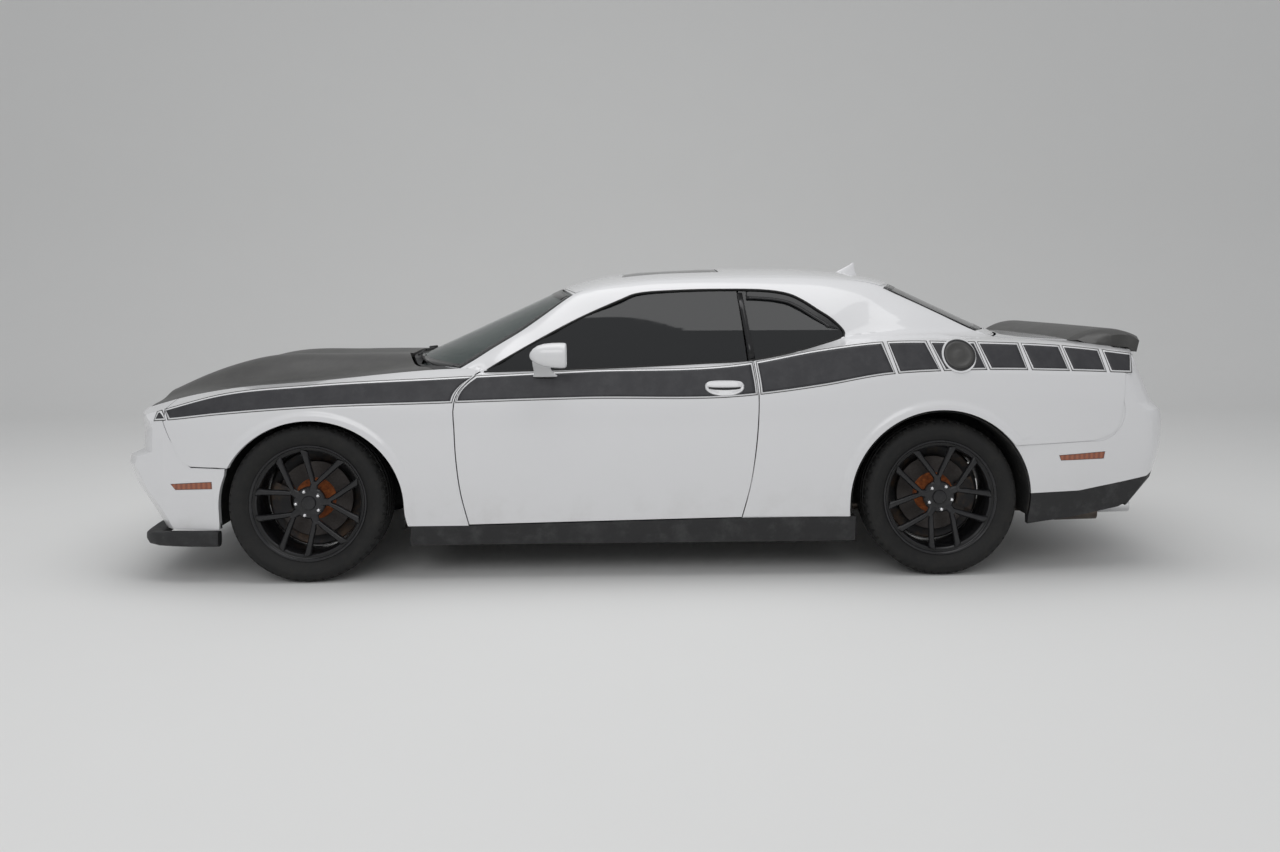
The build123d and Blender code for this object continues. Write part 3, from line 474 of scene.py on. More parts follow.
def makeSpoke(settings, turn):
    # one forked spoke: a ladder of quads along the stem and out along each prong
    fork, reach, side = spokeLine(settings)
    depth = settings["depth"]
    # along the spoke, half width, sideways centre, face height
    stem = [(38, 30, 0, 80), (60, 22, 0, 85), (84, 18.5, 0, settings["faceHub"] + 3),
            (fork, 21, 0, settings["faceFork"])]
    prong = [(mix(fork, reach, share), half, mix(12, side, share), settings["faceFork"] + rise)
             for share, half, rise in ((0.2, 16.5, 0.8), (0.5, 16.5, 2), (0.8, 18, 2.6))]
    prong.append((reach, 23, side, settings["faceTip"]))
    bm = bmesh.new()

    def rib(along, half, middle, face):
        ridge = [(-half, -9), (-half * 0.55, 0), (half * 0.55, 0), (half, -9), (half * 0.62, -depth),
                 (-half * 0.62, -depth)]
        return [bm.verts.new((along * mm, (face + drop) * mm, (middle + across) * mm))
                for across, drop in ridge]

    def bridge(first, second):
        for index in range(len(first)):
            following = (index + 1) % len(first)
            bm.faces.new((first[index], first[following], second[following], second[index]))

    rings = [rib(*row) for row in stem]
    for first, second in zip(rings, rings[1:]):
        bridge(first, second)
    bm.faces.new(rings[0])
    bm.faces.new(rings[-1])
    for hand in (1, -1):
        start = rib(fork - 14, 11.5, hand * 7, settings["faceFork"] - 0.6)
        arms = [start] + [rib(along, half, hand * middle, face) for along, half, middle, face in prong]
        for first, second in zip(arms, arms[1:]):
            bridge(first, second)
        bm.faces.new(arms[0])
        bm.faces.new(arms[-1])
    bmesh.ops.recalc_face_normals(bm, faces=bm.faces)
    edges = [edge for edge in bm.edges if len(edge.link_faces) == 2
             and edge.calc_face_angle(0) > radians(24)]
    bmesh.ops.bevel(bm, geom=edges, offset=0.0022, segments=2, profile=0.5, affect="EDGES",
                    material=-1, clamp_overlap=True)
    bmesh.ops.rotate(bm, cent=(0, 0, 0), matrix=Matrix.Rotation(-turn, 3, "Y"), verts=bm.verts)
    return bm


def makeRim(settings):
    parts = [spunRing(rimProfile, settings["steps"])]
    pitch = 2 * pi / settings["spokes"]
    for count in range(settings["spokes"]):
        parts.append(makeSpoke(settings, radians(settings["phase"]) + pitch * count))
    hub = [(0, 40), (70, 40), (74, 52), (74, 76), (68, 82), (48, 84), (34, 84), (33, 88), (30, 91.5),
           (24, 93), (0, 93.6)]
    parts.append(spunRing(hub, 60, closeProfile=False))
    return joined(*parts)


def makeNuts(settings):
    parts = []
    for count in range(settings["spokes"]):
        turn = radians(settings["phase"]) + 2 * pi * (count + 0.5) / settings["spokes"]
        nut = bmesh.new()
        bmesh.ops.create_cone(nut, cap_ends=True, segments=6, radius1=0.0105, radius2=0.0105, depth=0.016)
        dome = bmesh.new()
        bmesh.ops.create_uvsphere(dome, u_segments=16, v_segments=8, radius=0.0095)
        bmesh.ops.translate(dome, vec=(0, 0, 0.007), verts=dome.verts)
        nut = joined(nut, dome)
        edges = [edge for edge in nut.edges if edge.calc_face_angle(0) > radians(50)]
        bmesh.ops.bevel(nut, geom=edges, offset=0.0012, segments=2, profile=0.5, affect="EDGES",
                        material=-1, clamp_overlap=True)
        bmesh.ops.rotate(nut, cent=(0, 0, 0), matrix=Matrix.Rotation(-pi / 2, 3, "X"), verts=nut.verts)
        moved(nut, (0.057 * cos(turn), 0.087, 0.057 * sin(turn)))
        parts.append(nut)
    return joined(*parts)


def makeDisc():
    rotor = spunRing([(92, -34), (175, -34), (177.5, -36), (177.5, -60), (175, -62), (92, -62)], 120)
    vanes = [face for face in rotor.faces if abs(face.calc_center_median().y + 0.034) < 0.0005]
    bmesh.ops.inset_region(rotor, faces=vanes, thickness=0.004, depth=-0.0006)
    return rotor


def makeHat():
    return spunRing([(40, -31), (94, -31), (97.6, -34.5), (97.6, -44), (90, -44), (88, -38), (40, -38)], 90)


shieldProfile = [(64, -86), (150, -84), (205, -80), (221, -72), (224, -66), (226, -67), (224, -76),
                 (206, -83), (150, -87), (64, -89)]
tyreMesh = makeTyre(tyreSettings)
print("tyre faces:", len(tyreMesh.faces))
wheelCorners = [(node[5:], [(a + b) / 2 for a, b in zip(*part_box(node))])
                for node in ("tyre_front_left", "tyre_front_right", "tyre_rear_left", "tyre_rear_right")]
for corner, middle in wheelCorners:
    body = "wheel_" + corner
    hand = (lambda bm: bm) if middle[1] > 0 else flipped
    place(moved(hand(tyreMesh.copy()), middle), "tyre." + corner, "rubber", body, "tyre",
          ["tyre_" + corner])
    rear = "rear" in corner
    settings = {**rimSettings, "phase": 12.0 if rear else 34.0}
    place(moved(hand(makeRim(settings)), middle), "rim." + corner, "rimBlack", body, "rim_black",
          ["rim_" + corner])
    place(moved(hand(makeNuts(settings)), middle), "nuts." + corner, "chrome", body, "rim_black")
    place(moved(hand(makeDisc()), middle), "disc." + corner, "discIron", body, "disc_iron",
          ["brake_disc_" + corner])
    place(moved(hand(makeHat()), middle), "discHat." + corner, "rust", body, "disc_iron")
    carrier = "root" if rear else "knuckle_" + ("left" if middle[1] > 0 else "right")
    place(moved(hand(spunRing(shieldProfile, 72)), middle), "dustShield." + corner, "chassisSteel",
          carrier, "chassis_steel")
print("wheels made")


# the body's surface

# x | sill y, z | wide y, z | crease y, z | shoulder y, z | edge y, z | foot y, z | dome y, z | centre z
bodyRows = [
    (2560, 760, 165, 800, 540, 770, 735, 748, 748, 640, 762, 430, 768, 350, 772, 774),
    (2420, 800, 165, 838, 540, 815, 738, 802, 752, 660, 786, 450, 812, 355, 836, 846),
    (2250, 840, 165, 876, 540, 868, 746, 842, 800, 692, 834, 465, 868, 365, 906, 918),
    (2000, 870, 165, 916, 545, 908, 773, 868, 866, 735, 881, 470, 906, 375, 968, 979),
    (1564, 890, 165, 948, 560, 942, 806, 882, 911, 758, 920, 475, 946, 380, 993, 1000),
    (1000, 895, 165, 947, 560, 945, 823, 895, 940, 772, 972, 480, 988, 385, 1004, 1008),
    (300, 895, 165, 944, 560, 941, 840, 900, 972, 780, 976, 480, 978, 380, 979, 982),
    (-450, 900, 165, 949, 565, 947, 849, 903, 1001, 780, 1004, 480, 1004, 380, 1005, 1008),
    (-800, 902, 165, 955, 572, 953, 893, 903, 1064, 780, 1070, 480, 1070, 380, 1071, 1074),
    (-1090, 904, 170, 960, 578, 958, 943, 902, 1098, 760, 1106, 480, 1108, 380, 1109, 1112),
    (-1450, 904, 190, 961.5, 584, 960, 963, 896, 1098, 740, 1106, 480, 1112, 380, 1113, 1115),
    (-2000, 885, 262, 946, 605, 944, 956, 880, 1072, 700, 1088, 470, 1094, 370, 1096, 1098),
    (-2330, 850, 320, 912, 625, 904, 942, 845, 1032, 680, 1068, 460, 1082, 360, 1086, 1088),
    (-2560, 805, 380, 872, 645, 860, 936, 800, 1003, 655, 1040, 440, 1056, 350, 1060, 1062),
]
# z | pillar x, y | glass front x, y | widest y | rear side x, y | rear glass y
cabinRows = [
    (900, 972, 815, 872, 864, 902, -1520, 872, 688),
    (1020, 800, 758, 690, 812, 842, -1360, 828, 652),
    (1150, 596, 690, 470, 738, 779, -1160, 764, 617),
    (1343, 338, 590, 150, 632, 658, -900, 642, 560),
    (1400, 262, 552, 80, 584, 600, -830, 582, 540),
    (1480, 160, 470, 20, 484, 492, -750, 480, 470),
]
crownLine = [(1500, 960), (462, 1352), (250, 1412), (40, 1440), (-275, 1455), (-500, 1458),
             (-850, 1452), (-1100, 1428), (-1290, 1390), (-2400, 960)]
screens = {"frontBase": (1270, 977), "frontTop": (462, 1350), "rearTop": (-1290, 1385),
           "rearBase": (-1827, 1132), "rearSweep": 165}


class Curve:
    # a smooth line through (place, value) pairs, carried on straight beyond its ends
    def __init__(self, pairs):
        pairs = sorted(pairs)
        self.places = [place for place, _ in pairs]
        self.values = [value for _, value in pairs]
        runs = [after - before for before, after in zip(self.places, self.places[1:])]
        rises = [after - before for before, after in zip(self.values, self.values[1:])]
        slopes = [rise / run for rise, run in zip(rises, runs)]
        inner = [(first * runs[index + 1] + second * runs[index]) / (runs[index] + runs[index + 1])
                 for index, (first, second) in enumerate(zip(slopes, slopes[1:]))]
        self.slopes = [slopes[0]] + inner + [slopes[-1]]

    def __call__(self, place):
        index = min(max(bisect_right(self.places, place) - 1, 0), len(self.places) - 2)
        start, end = self.places[index], self.places[index + 1]
        run = end - start
        share = (place - start) / run
        if share < 0:
            return self.values[index] + self.slopes[index] * (place - start)
        if share > 1:
            return self.values[index + 1] + self.slopes[index + 1] * (place - end)
        flip = 1 - share
        return (self.values[index] * (1 + 2 * share) * flip * flip
                + self.values[index + 1] * share * share * (3 - 2 * share)
                + run * share * flip * (self.slopes[index] * flip - self.slopes[index + 1] * share))


featureNames = ["sill", "wide", "crease", "shoulder", "edge", "foot", "dome"]
features = {name: (Curve([(row[0], row[1 + 2 * index]) for row in bodyRows]),
                   Curve([(row[0], row[2 + 2 * index]) for row in bodyRows]))
            for index, name in enumerate(featureNames)}
centreLine = Curve([(row[0], row[15]) for row in bodyRows])


def feature(name, x):
    across, up = features[name]
    return across(x), up(x)


def sideY(x, z):
    # half width of the body's side at a length and height, its crease eased by a few millimetres
    sill, wide, crease, shoulder = (feature(name, x) for name in ("sill", "wide", "crease", "shoulder"))

    def plain(level):
        if level >= crease[1]:
            share = (level - crease[1]) / (shoulder[1] - crease[1])
            return mix(crease[0], shoulder[0], share) + 5 * share * (1 - share)
        low, middle, high = sill[1], wide[1], crease[1]
        return (sill[0] * (level - middle) * (level - high) / ((low - middle) * (low - high))
                + wide[0] * (level - low) * (level - high) / ((middle - low) * (middle - high))
                + crease[0] * (level - low) * (level - middle) / ((high - low) * (high - middle)))
    return (plain(z - 7) + 2 * plain(z) + plain(z + 7)) / 4


def deckRay(x, turn, middle):
    # distance from the section's middle to the lower body along a direction
    points = [feature("crease", x), feature("shoulder", x), feature("edge", x), feature("foot", x),
              feature("dome", x), (180, mix(feature("dome", x)[1], centreLine(x), 0.75)),
              (0, centreLine(x))]
    aim = (cos(turn), sin(turn))
    for (y0, z0), (y1, z1) in zip(points, points[1:]):
        side0 = aim[0] * (z0 - middle) - aim[1] * y0
        side1 = aim[0] * (z1 - middle) - aim[1] * y1
        if side0 <= 0 <= side1:
            share = side0 / (side0 - side1) if side0 != side1 else 0
            return hypot(mix(y0, y1, share), mix(z0, z1, share) - middle)
    return hypot(points[0][0], points[0][1] - middle) if turn < 0.5 else centreLine(x) - middle


levelCurves = []
crownCurve = Curve(crownLine)
for z, pillarX, pillarY, glassX, glassY, wideY, rearX, rearY, backY in cabinRows:
    base, top = screens["rearBase"], screens["rearTop"]
    backX = mix(base[0], top[0], (z - base[1]) / (top[1] - base[1]))
    cornerX = backX + screens["rearSweep"] * (1.45 - z / 3300)
    ahead, behind = glassX + 450, rearX + 450
    bend = ((glassY - wideY) / ahead - (rearY - wideY) / behind) / (ahead - behind)
    lean = (glassY - wideY) / ahead - bend * ahead
    bowed = [(x, wideY + lean * (x + 450) + bend * (x + 450) ** 2)
             for x in (rearX, rearX + 60, mix(rearX, -450, 0.5), -450, mix(-450, glassX, 0.5), glassX - 50,
                       glassX)]
    levelCurves.append((z, Curve([(cornerX, backY), *bowed, (pillarX, pillarY)])))
frontEdge = (Curve([(row[0], row[1]) for row in cabinRows]), Curve([(row[0], row[2]) for row in cabinRows]))
rearEdge = Curve([(row[0], row[8]) for row in cabinRows])


def inCabin(x, y, z, sideCurve):
    base, top = screens["frontBase"], screens["frontTop"]
    screenX = mix(base[0], top[0], (z - base[1]) / (top[1] - base[1]))
    screenX -= (screenX - frontEdge[0](z)) * (y / frontEdge[1](z)) ** 2
    base, top = screens["rearBase"], screens["rearTop"]
    backX = mix(base[0], top[0], (z - base[1]) / (top[1] - base[1]))
    backX += screens["rearSweep"] * (1.45 - z / 3300) * (y / rearEdge(z)) ** 2
    crown = crownCurve(x) - 60 * (y / 620) ** 2
    return y < sideCurve(z) and backX < x < screenX and z < crown


skinSettings = {"middle": 700, "xFrom": -2340, "xTo": 1320, "xStep": 20, "turnFrom": 8, "turns": 83}


def makeSkinTable(settings):
    middle = settings["middle"]
    table = []
    for x in range(settings["xFrom"], settings["xTo"] + 1, settings["xStep"]):
        sideCurve = Curve([(z, curve(x)) for z, curve in levelCurves])
        row = []
        for index in range(settings["turns"]):
            turn = radians(settings["turnFrom"] + index)
            reach = deckRay(x, turn, middle)
            low, high = reach, 1150.0
            aim = (cos(turn), sin(turn))
            if inCabin(x, aim[0] * (low + 1), middle + aim[1] * (low + 1), sideCurve):
                for _ in range(11):
                    half = (low + high) / 2
                    if inCabin(x, aim[0] * half, middle + aim[1] * half, sideCurve):
                        low = half
                    else:
                        high = half
                reach = low
            row.append(reach)
        table.append(row)

    def eased(values, weights):
        made = []
        for index, weight in enumerate(weights):
            before, after = values[max(index - 1, 0)], values[min(index + 1, len(values) - 1)]
            made.append(mix(values[index], (before + after) / 2, weight))
        return made

    weights = []
    for index in range(settings["turns"]):
        turn = settings["turnFrom"] + index
        weights.append(min(max((turn - 20) / 8, 0), 1) * (1.0 if turn > 30 else 0.9))
    for _ in range(9):
        table = [eased(row, weights) for row in table]
    columns = list(zip(*table))
    for _ in range(3):
        columns = [eased(column, [0.7 * weight] * len(column)) for column, weight in zip(columns, weights)]
    return [list(row) for row in zip(*columns)]


skinTable = makeSkinTable(skinSettings)
print("skin table made")


def cubic(a, b, c, d, share):
    return b + 0.5 * share * (c - a + share * (2 * a - 5 * b + 4 * c - d + share * (3 * (b - c) + d - a)))


def skinAt(x, turn):
    # point of the upper body at a length and a turn in degrees up from the side
    settings = skinSettings
    along = (x - settings["xFrom"]) / settings["xStep"]
    round_ = turn - settings["turnFrom"]
    column = min(max(int(along), 1), len(skinTable) - 3)
    row = min(max(int(round_), 1), settings["turns"] - 3)
    reaches = [cubic(*skinTable[column + step][row - 1:row + 3], round_ - row) for step in (-1, 0, 1, 2)]
    reach = cubic(*reaches, along - column)
    return (x, reach * cos(radians(turn)), settings["middle"] + reach * sin(radians(turn)))


def turnWhere(x, axis, value):
    # the turn at which the skin has a given half width (axis 1) or height (axis 2)
    low, high = float(skinSettings["turnFrom"]) + 1, 90.0
    for _ in range(22):
        half = (low + high) / 2
        if (skinAt(x, half)[axis] > value) == (axis == 1):
            low = half
        else:
            high = half
    return (low + high) / 2


def gridPiece(rows):
    # a bmesh grid whose vertices are set to rows of (x, y, z) points in millimetres
    bm = bmesh.new()
    bmesh.ops.create_grid(bm, x_segments=len(rows) - 1, y_segments=len(rows[0]) - 1, size=0.5)
    bm.verts.ensure_lookup_table()
    order = sorted(bm.verts, key=lambda vert: (round(vert.co.y, 5), round(vert.co.x, 5)))
    width = len(rows)
    for index, vert in enumerate(order):
        vert.co = Vector(rows[index % width][index // width]) * mm
    return bm


def pointOutwards(bm, middle=(0, 0, 0.6)):
    # the grid's faces turned away from the middle of the car
    bmesh.ops.remove_doubles(bm, verts=bm.verts, dist=0.0001)
    bmesh.ops.dissolve_degenerate(bm, edges=bm.edges, dist=0.00001)
    bmesh.ops.recalc_face_normals(bm, faces=bm.faces)
    lean = sum((face.calc_center_median() - Vector(middle)).dot(face.normal) * face.calc_area()
               for face in bm.faces)
    if lean < 0:
        bmesh.ops.reverse_faces(bm, faces=bm.faces)
    return bm


arches = {"front": (1562, 347, 404, 1.057), "rear": (-1362, 352, 431, 1.0)}  # the last widens the opening
flareSettings = {"proud": 8.0, "flat": 20, "fade": 48}
lineGap = 5


def flareY(x, z):
    # how far the rolled lip round a wheel opening stands out
    for archX, archZ, radius, wide in arches.values():
        across = (x - archX) / wide
        away = (hypot(across, z - archZ) if z > archZ else abs(across)) - radius
        if away < flareSettings["fade"] and z > archZ - 110:
            share = max(away - flareSettings["flat"], 0) / (flareSettings["fade"] - flareSettings["flat"])
            drop = min(max((archZ - z) / 110, 0), 1)
            return flareSettings["proud"] * (1 - share * share * (3 - 2 * share)) * (1 - drop)
    return 0.0


def bodyY(x, z):
    return sideY(x, z) + flareY(x, z)


def cabinSide(x, z):
    return Curve([(level, curve(x)) for level, curve in levelCurves])(z)


sectionTops = {}


def topZ(x, y):
    # height of the hood, deck and fender tops
    key = round(x, 1)
    if key not in sectionTops:
        dome, foot, edge, shoulder = (feature(name, x) for name in ("dome", "foot", "edge", "shoulder"))
        sectionTops[key] = Curve([(-dome[0], dome[1]), (0, centreLine(x)), dome, foot, edge, shoulder])
    return sectionTops[key](abs(y))


def turnOf(point):
    return degrees(atan2(point[2] - skinSettings["middle"], point[1]))


def between(first, second, count, kind, bow=0.0):
    # points from first up to, not including, second over the body's surface
    points = []
    if kind == "skin":
        turns = turnOf(first), turnOf(second)
        errors = [[real - found for real, found in zip(point, skinAt(point[0], turn))]
                  for point, turn in zip((first, second), turns)]
    for index in range(count):
        share = index / count
        x = mix(first[0], second[0], share) + bow * 4 * share * (1 - share)
        if kind == "side":
            z = mix(first[2], second[2], share)
            points.append((x, bodyY(x, z), z))
        elif kind == "top":
            y = mix(first[1], second[1], share)
            points.append((x, y, topZ(x, y)))
        elif kind == "skin":
            found = skinAt(x, mix(*turns, share))
            points.append(tuple(value + early * (1 - share) ** 2 + late * share ** 2
                                for value, early, late in zip(found, *errors)))
        else:
            points.append((x, mix(first[1], second[1], share), mix(first[2], second[2], share)))
    return points


def sidePoint(x, z):
    return (x, bodyY(x, z), z)


def railPoint(name, x):
    return (x, bodyY(x, feature(name, x)[1]), feature(name, x)[1])


def patch(columns, counts, kinds, bows=None):
    # rows of points, one per column, through the rails of each column
    rows = []
    for index, rails in enumerate(columns):
        points = []
        for part, (first, second) in enumerate(zip(rails, rails[1:])):
            bow = bows[index][part] if bows else 0.0
            points += between(first, second, counts[part], kinds[part], bow)
        rows.append(points + [rails[-1]])
    return rows


doorFront = Curve([(262, 839), (410, 874), (560, 893), (700, 901), (824, 903), (862, 893), (896, 872),
                   (930, 838), (960, 798)])
doorRear = Curve([(285, -425), (440, -465), (590, -487), (720, -499), (850, -503), (1014, -484)])
beltLine = Curve([(786, 960), (516, 967), (235, 975), (-237, 995), (-480, 1009), (-700, 1049), (-840, 1087),
                  (-925, 1113)])
hoodHalf = Curve([(2420, 640), (2330, 675), (2150, 706), (1855, 745), (1471, 762), (1034, 772), (860, 776)])


def doorEdgeX(z, front, gap=0.0):
    if front:
        return (doorFront(z) if z < 960 else 798) + gap
    return doorRear(z) - gap


def sills(x):
    return 262 + (839 - x) / 1264 * 23


def doorRows():
    # the door's outer skin from its bottom edge up to the belt
    rows = []
    steps = 60
    for index in range(steps + 1):
        share = index / steps
        column = []
        for level in range(27):
            x = mix(850, -480, share)
            for _ in range(5):
                crease, shoulder = feature("crease", x)[1], feature("shoulder", x)[1]
                belt = beltLine(min(x, 790))
                if level <= 16:
                    z = mix(sills(x), crease, level / 16)
                elif level <= 22:
                    z = mix(crease, shoulder, (level - 16) / 6)
                else:
                    z = mix(shoulder, belt, (level - 22) / 4)
                x = mix(doorEdgeX(z, True), doorEdgeX(z, False), share)
            if level <= 22:
                column.append(sidePoint(x, z))
            else:
                out = feature("shoulder", x)[0]
                lean = (level - 22) / 4
                column.append((x, mix(out, cabinSide(x, belt) + 2, lean) + 7 * lean * (1 - lean),
                               mix(shoulder, belt, lean) + 5 * lean * (1 - lean)))
        rows.append(column)
    return rows


def fenderColumns():
    archX, archZ, radius, wide = arches["front"]
    gap = lineGap
    lower, normals = [], []
    for share in range(11):
        lower.append((mix(839 + gap, archX - radius * wide - 14, share / 10), 257))
        normals.append((-1.24 * share / 10, 0.72))
    for z, lean, tilt in ((285, -1.15, 0.58), (315, -1.07, 0.3)):
        lower.append((archX - radius * wide - (347 - z) ** 2 / 580, z))
        normals.append((lean, tilt))
    last = degrees(atan2(529 + gap - archZ, sqrt(radius ** 2 - (529 + gap - archZ) ** 2)))
    for step in range(49):
        turn = radians(mix(180, last, step / 48))
        upright = max(step - 34, 0) / 14
        lower.append((archX + radius * wide * cos(turn), archZ + radius * sin(turn)))
        normals.append((cos(turn) * (1 - upright), mix(sin(turn), 1, upright)))
    split = [(1990, 531), (2055, 532), (2118, 534), (2150, 552), (2180, 584), (2203, 632), (2232, 690),
             (2252, 736)]
    for x, z in split:
        lower.append((x, z + gap))
        normals.append((0, 1))
    count = len(lower)
    tops = Curve([(0, 908), (10, 1078), (13, 1102), (16, 1144), (20, 1204), (27, 1290), (41, 1558),
                  (51, 1790), (61, 1985), (count - 4, 2190), (count - 1, 2250)])
    columns, bows = [], []
    for index, ((x, z), (nx, nz)) in enumerate(zip(lower, normals)):
        topX = tops(index)
        crease = railPoint("crease", topX)
        room = hypot(topX - x, crease[2] - z)
        near, far = min(20, 0.2 * room), min(48, 0.4 * room)
        shoulder = railPoint("shoulder", topX if topX > 960 else mix(817, topX, (topX - 908) / 52))
        x2 = shoulder[0]
        y2 = hoodHalf(x2) + gap
        edge = (x2, y2, topZ(x2, y2))
        columns.append([sidePoint(x, z), sidePoint(x + nx * near, z + nz * near),
                        sidePoint(x + nx * far, z + nz * far), crease, shoulder, edge])
        fade = max(1 - index / 12, 0)
        bows.append([0, 0, 20 * fade, 20 * fade if topX < 960 else 0, 0])
    return columns, bows


def quarterColumns():
    archX, archZ, radius, _ = arches["rear"]
    gap = lineGap
    lower, normals = [], []
    for share in range(15):
        lower.append((mix(-430, archX + radius, share / 14), mix(286, 284, share / 14)))
        normals.append((1.24 * share / 14, 0.72))
    lower.append((archX + radius, 320))
    normals.append((1.12, 0.34))
    last = 180 - degrees(atan2(610 + gap - archZ, sqrt(radius ** 2 - (610 + gap - archZ) ** 2)))
    for step in range(53):
        turn = radians(mix(0, last, step / 52))
        lower.append((archX + radius * cos(turn), archZ + radius * sin(turn)))
        normals.append((cos(turn), sin(turn)))
    split = [(-1790, 613), (-1880, 617), (-1970, 621), (-2080, 627), (-2125, 637), (-2165, 652), (-2196, 674),
             (-2213, 702), (-2224, 745), (-2232, 790), (-2239, 830), (-2244, 875), (-2248, 915), (-2250, 936)]
    for x, z in split:
        lower.append((x, z + gap))
        normals.append((0, 1))
    count = len(lower)
    tops = Curve([(0, -508), (14, -846), (16, -868), (20, -944), (24, -1022), (30, -1110), (48, -1370),
                  (60, -1640), (68, -1870), (count - 1, -2248)])
    columns, bows, shoulders = [], [], []
    for index, ((x, z), (nx, nz)) in enumerate(zip(lower, normals)):
        topX = tops(index)
        crease = railPoint("crease", topX)
        room = hypot(topX - x, crease[2] - z)
        near, far = min(20, 0.2 * room), min(48, 0.4 * room)
        if z + nz * far > crease[2]:
            far = near = 0.5
        shoulder = railPoint("shoulder", topX)
        columns.append([sidePoint(x, z), sidePoint(x + nx * near, z + nz * near),
                        sidePoint(x + nx * far, z + nz * far), crease, shoulder])
        fade = max(1 - index / 14, 0)
        bows.append([0, 0, -20 * fade, 0])
        shoulders.append(shoulder)
    return columns, bows, shoulders


def onSkin(x, y):
    turn = turnWhere(x, 1, y)
    return skinAt(x, turn)


cPillarTurns = 28


def pillarPairs():
    # inner point beside the side glass | outer point at the screens, the roof or the deck
    inner = [(786, 958), (708, 1007), (523, 1112), (334, 1211), (141, 1296), (43, 1330), (-150, 1343),
             (-350, 1347), (-550, 1344), (-669, 1328), (-741, 1298), (-820, 1246), (-880, 1205),
             (-932, 1150), (-932, 1118)]
    outer = [(884, 757), (800, 724), (640, 672), (500, 624), (366, 566), (280, 548), (60, 546), (-200, 542),
             (-450, 537), (-700, 532), (-900, 527), (-1180, 536), (-1320, 566), (-1480, 592), (-1636, 620)]
    return inner, outer


def pillarColumns():
    inner, outer = pillarPairs()
    innerCurves = [Curve(list(enumerate(values))) for values in zip(*inner)]
    outerCurves = [Curve(list(enumerate(values))) for values in zip(*outer)]
    columns = []
    steps = (len(inner) - 1) * 7
    for index in range(steps + 1):
        at = index / 7
        x, z = innerCurves[0](at), innerCurves[1](at)
        first = (x, cabinSide(x, z), z)
        x, y = outerCurves[0](at), outerCurves[1](at)
        last = onSkin(x, y)
        columns.append([first, last])
    return columns


def upperQuarterColumns(shoulders, closing):
    # from the shoulder up to the belt, the pillar's foot and the lid's gap
    columns = []
    foot = closing  # points along the pillar's foot, glass tip first
    for index, shoulder in enumerate(shoulders):
        if index <= 14:
            x = mix(-490, -932, index / 14)
            z = beltLine(x) if index < 14 else foot[0][2]
            upper = (x, cabinSide(x, z), z) if index < 14 else foot[0]
        elif index <= 14 + cPillarTurns:
            upper = foot[index - 14]
        else:
            share = (index - 14 - cPillarTurns) / (len(shoulders) - 1 - 14 - cPillarTurns)
            x = mix(foot[-1][0], -2248, share)
            y = 645 if x < -1700 else mix(foot[-1][1], 645, (foot[-1][0] - x) / (foot[-1][0] + 1700))
            upper = onSkin(x, y)
        columns.append([shoulder, upper])
    return columns


def skinPiece(grids, name, finish, body, slot, nodes=(), thickness=4.0, raised=0.0, mirrored=False,
              bevel=1.2, hole=None):
    whole = joined(*[gridPiece(rows) for rows in grids])
    if hole:
        lost = [face for face in whole.faces if hole(face.calc_center_median())]
        bmesh.ops.delete(whole, geom=lost, context="FACES")
    pointOutwards(whole)
    if raised:
        whole.normal_update()
        for vert in whole.verts:
            vert.co += vert.normal * raised * mm
    if mirrored:
        flipped(whole)
    piece = place(whole, name, finish, body, slot, nodes, sharp=40)
    wall = piece.modifiers.new("wall", "SOLIDIFY")
    wall.thickness = thickness * mm
    wall.offset = -1.0
    if bevel:
        soften = piece.modifiers.new("soften", "BEVEL")
        soften.width = bevel * mm
        soften.segments = 2
        soften.limit_method = "ANGLE"
        soften.angle_limit = radians(50)
        even = piece.modifiers.new("even", "WEIGHTED_NORMAL")
        even.keep_sharp = True
    return piece


panelSettings = {"door": 68, "fender": 24, "skin": 5, "sunk": 5.2, "reach": 14}


def sunkCopy(node, name, finish, slot, settings):
    # the inner structure of a body side: the node's own mesh with its outer face let in for the skin
    bm = bmesh.new()
    bm.from_mesh(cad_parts[node].data)
    bmesh.ops.remove_doubles(bm, verts=bm.verts, dist=0.00001)
    for vert in bm.verts:
        x, y, z = (value / mm for value in vert.co)
        side = 1 if y > 0 else -1
        if z > feature("crease", x)[1] and x < 1300:
            turn = turnOf((x, abs(y), z))
            if turn < skinSettings["turnFrom"]:
                continue
            out = skinAt(x, turn)
            far = hypot(out[1], out[2] - skinSettings["middle"])
            near = hypot(y, z - skinSettings["middle"])
            if far - near < settings["reach"]:
                scale = (far - settings["sunk"]) / near
                vert.co = (x * mm, y * scale * mm,
                           (skinSettings["middle"] + (z - skinSettings["middle"]) * scale) * mm)
        else:
            out = sideY(x, z)
            if out - abs(y) < settings["reach"]:
                vert.co.y = side * (out - settings["sunk"]) * mm
    piece = place(bm, name, finish, "root", slot, (node,), sharp=30)
    return piece


def cropped(rows, first, last, low, high):
    # part of a grid, by shares of its rows and columns
    wide, tall = len(rows) - 1, len(rows[0]) - 1
    return [row[round(low * tall):round(high * tall) + 1]
            for row in rows[round(first * wide):round(last * wide) + 1]]


def followEdge(grid, edgeX, top, count):
    # slides a grid's first columns so that its free end runs along the door's edge
    shifts = [edgeX(z) - x if z < top else 0 for x, _, z in grid[0]]
    for index in range(count):
        fade = (1 - index / count) ** 2
        grid[index] = [(x + shift * fade, bodyY(x + shift * fade, z) if shift else y, z)
                       for (x, y, z), shift in zip(grid[index], shifts)]
    return grid


def shifted(rows, inwards):
    return [[(x, y - inwards, z) for x, y, z in row] for row in rows]


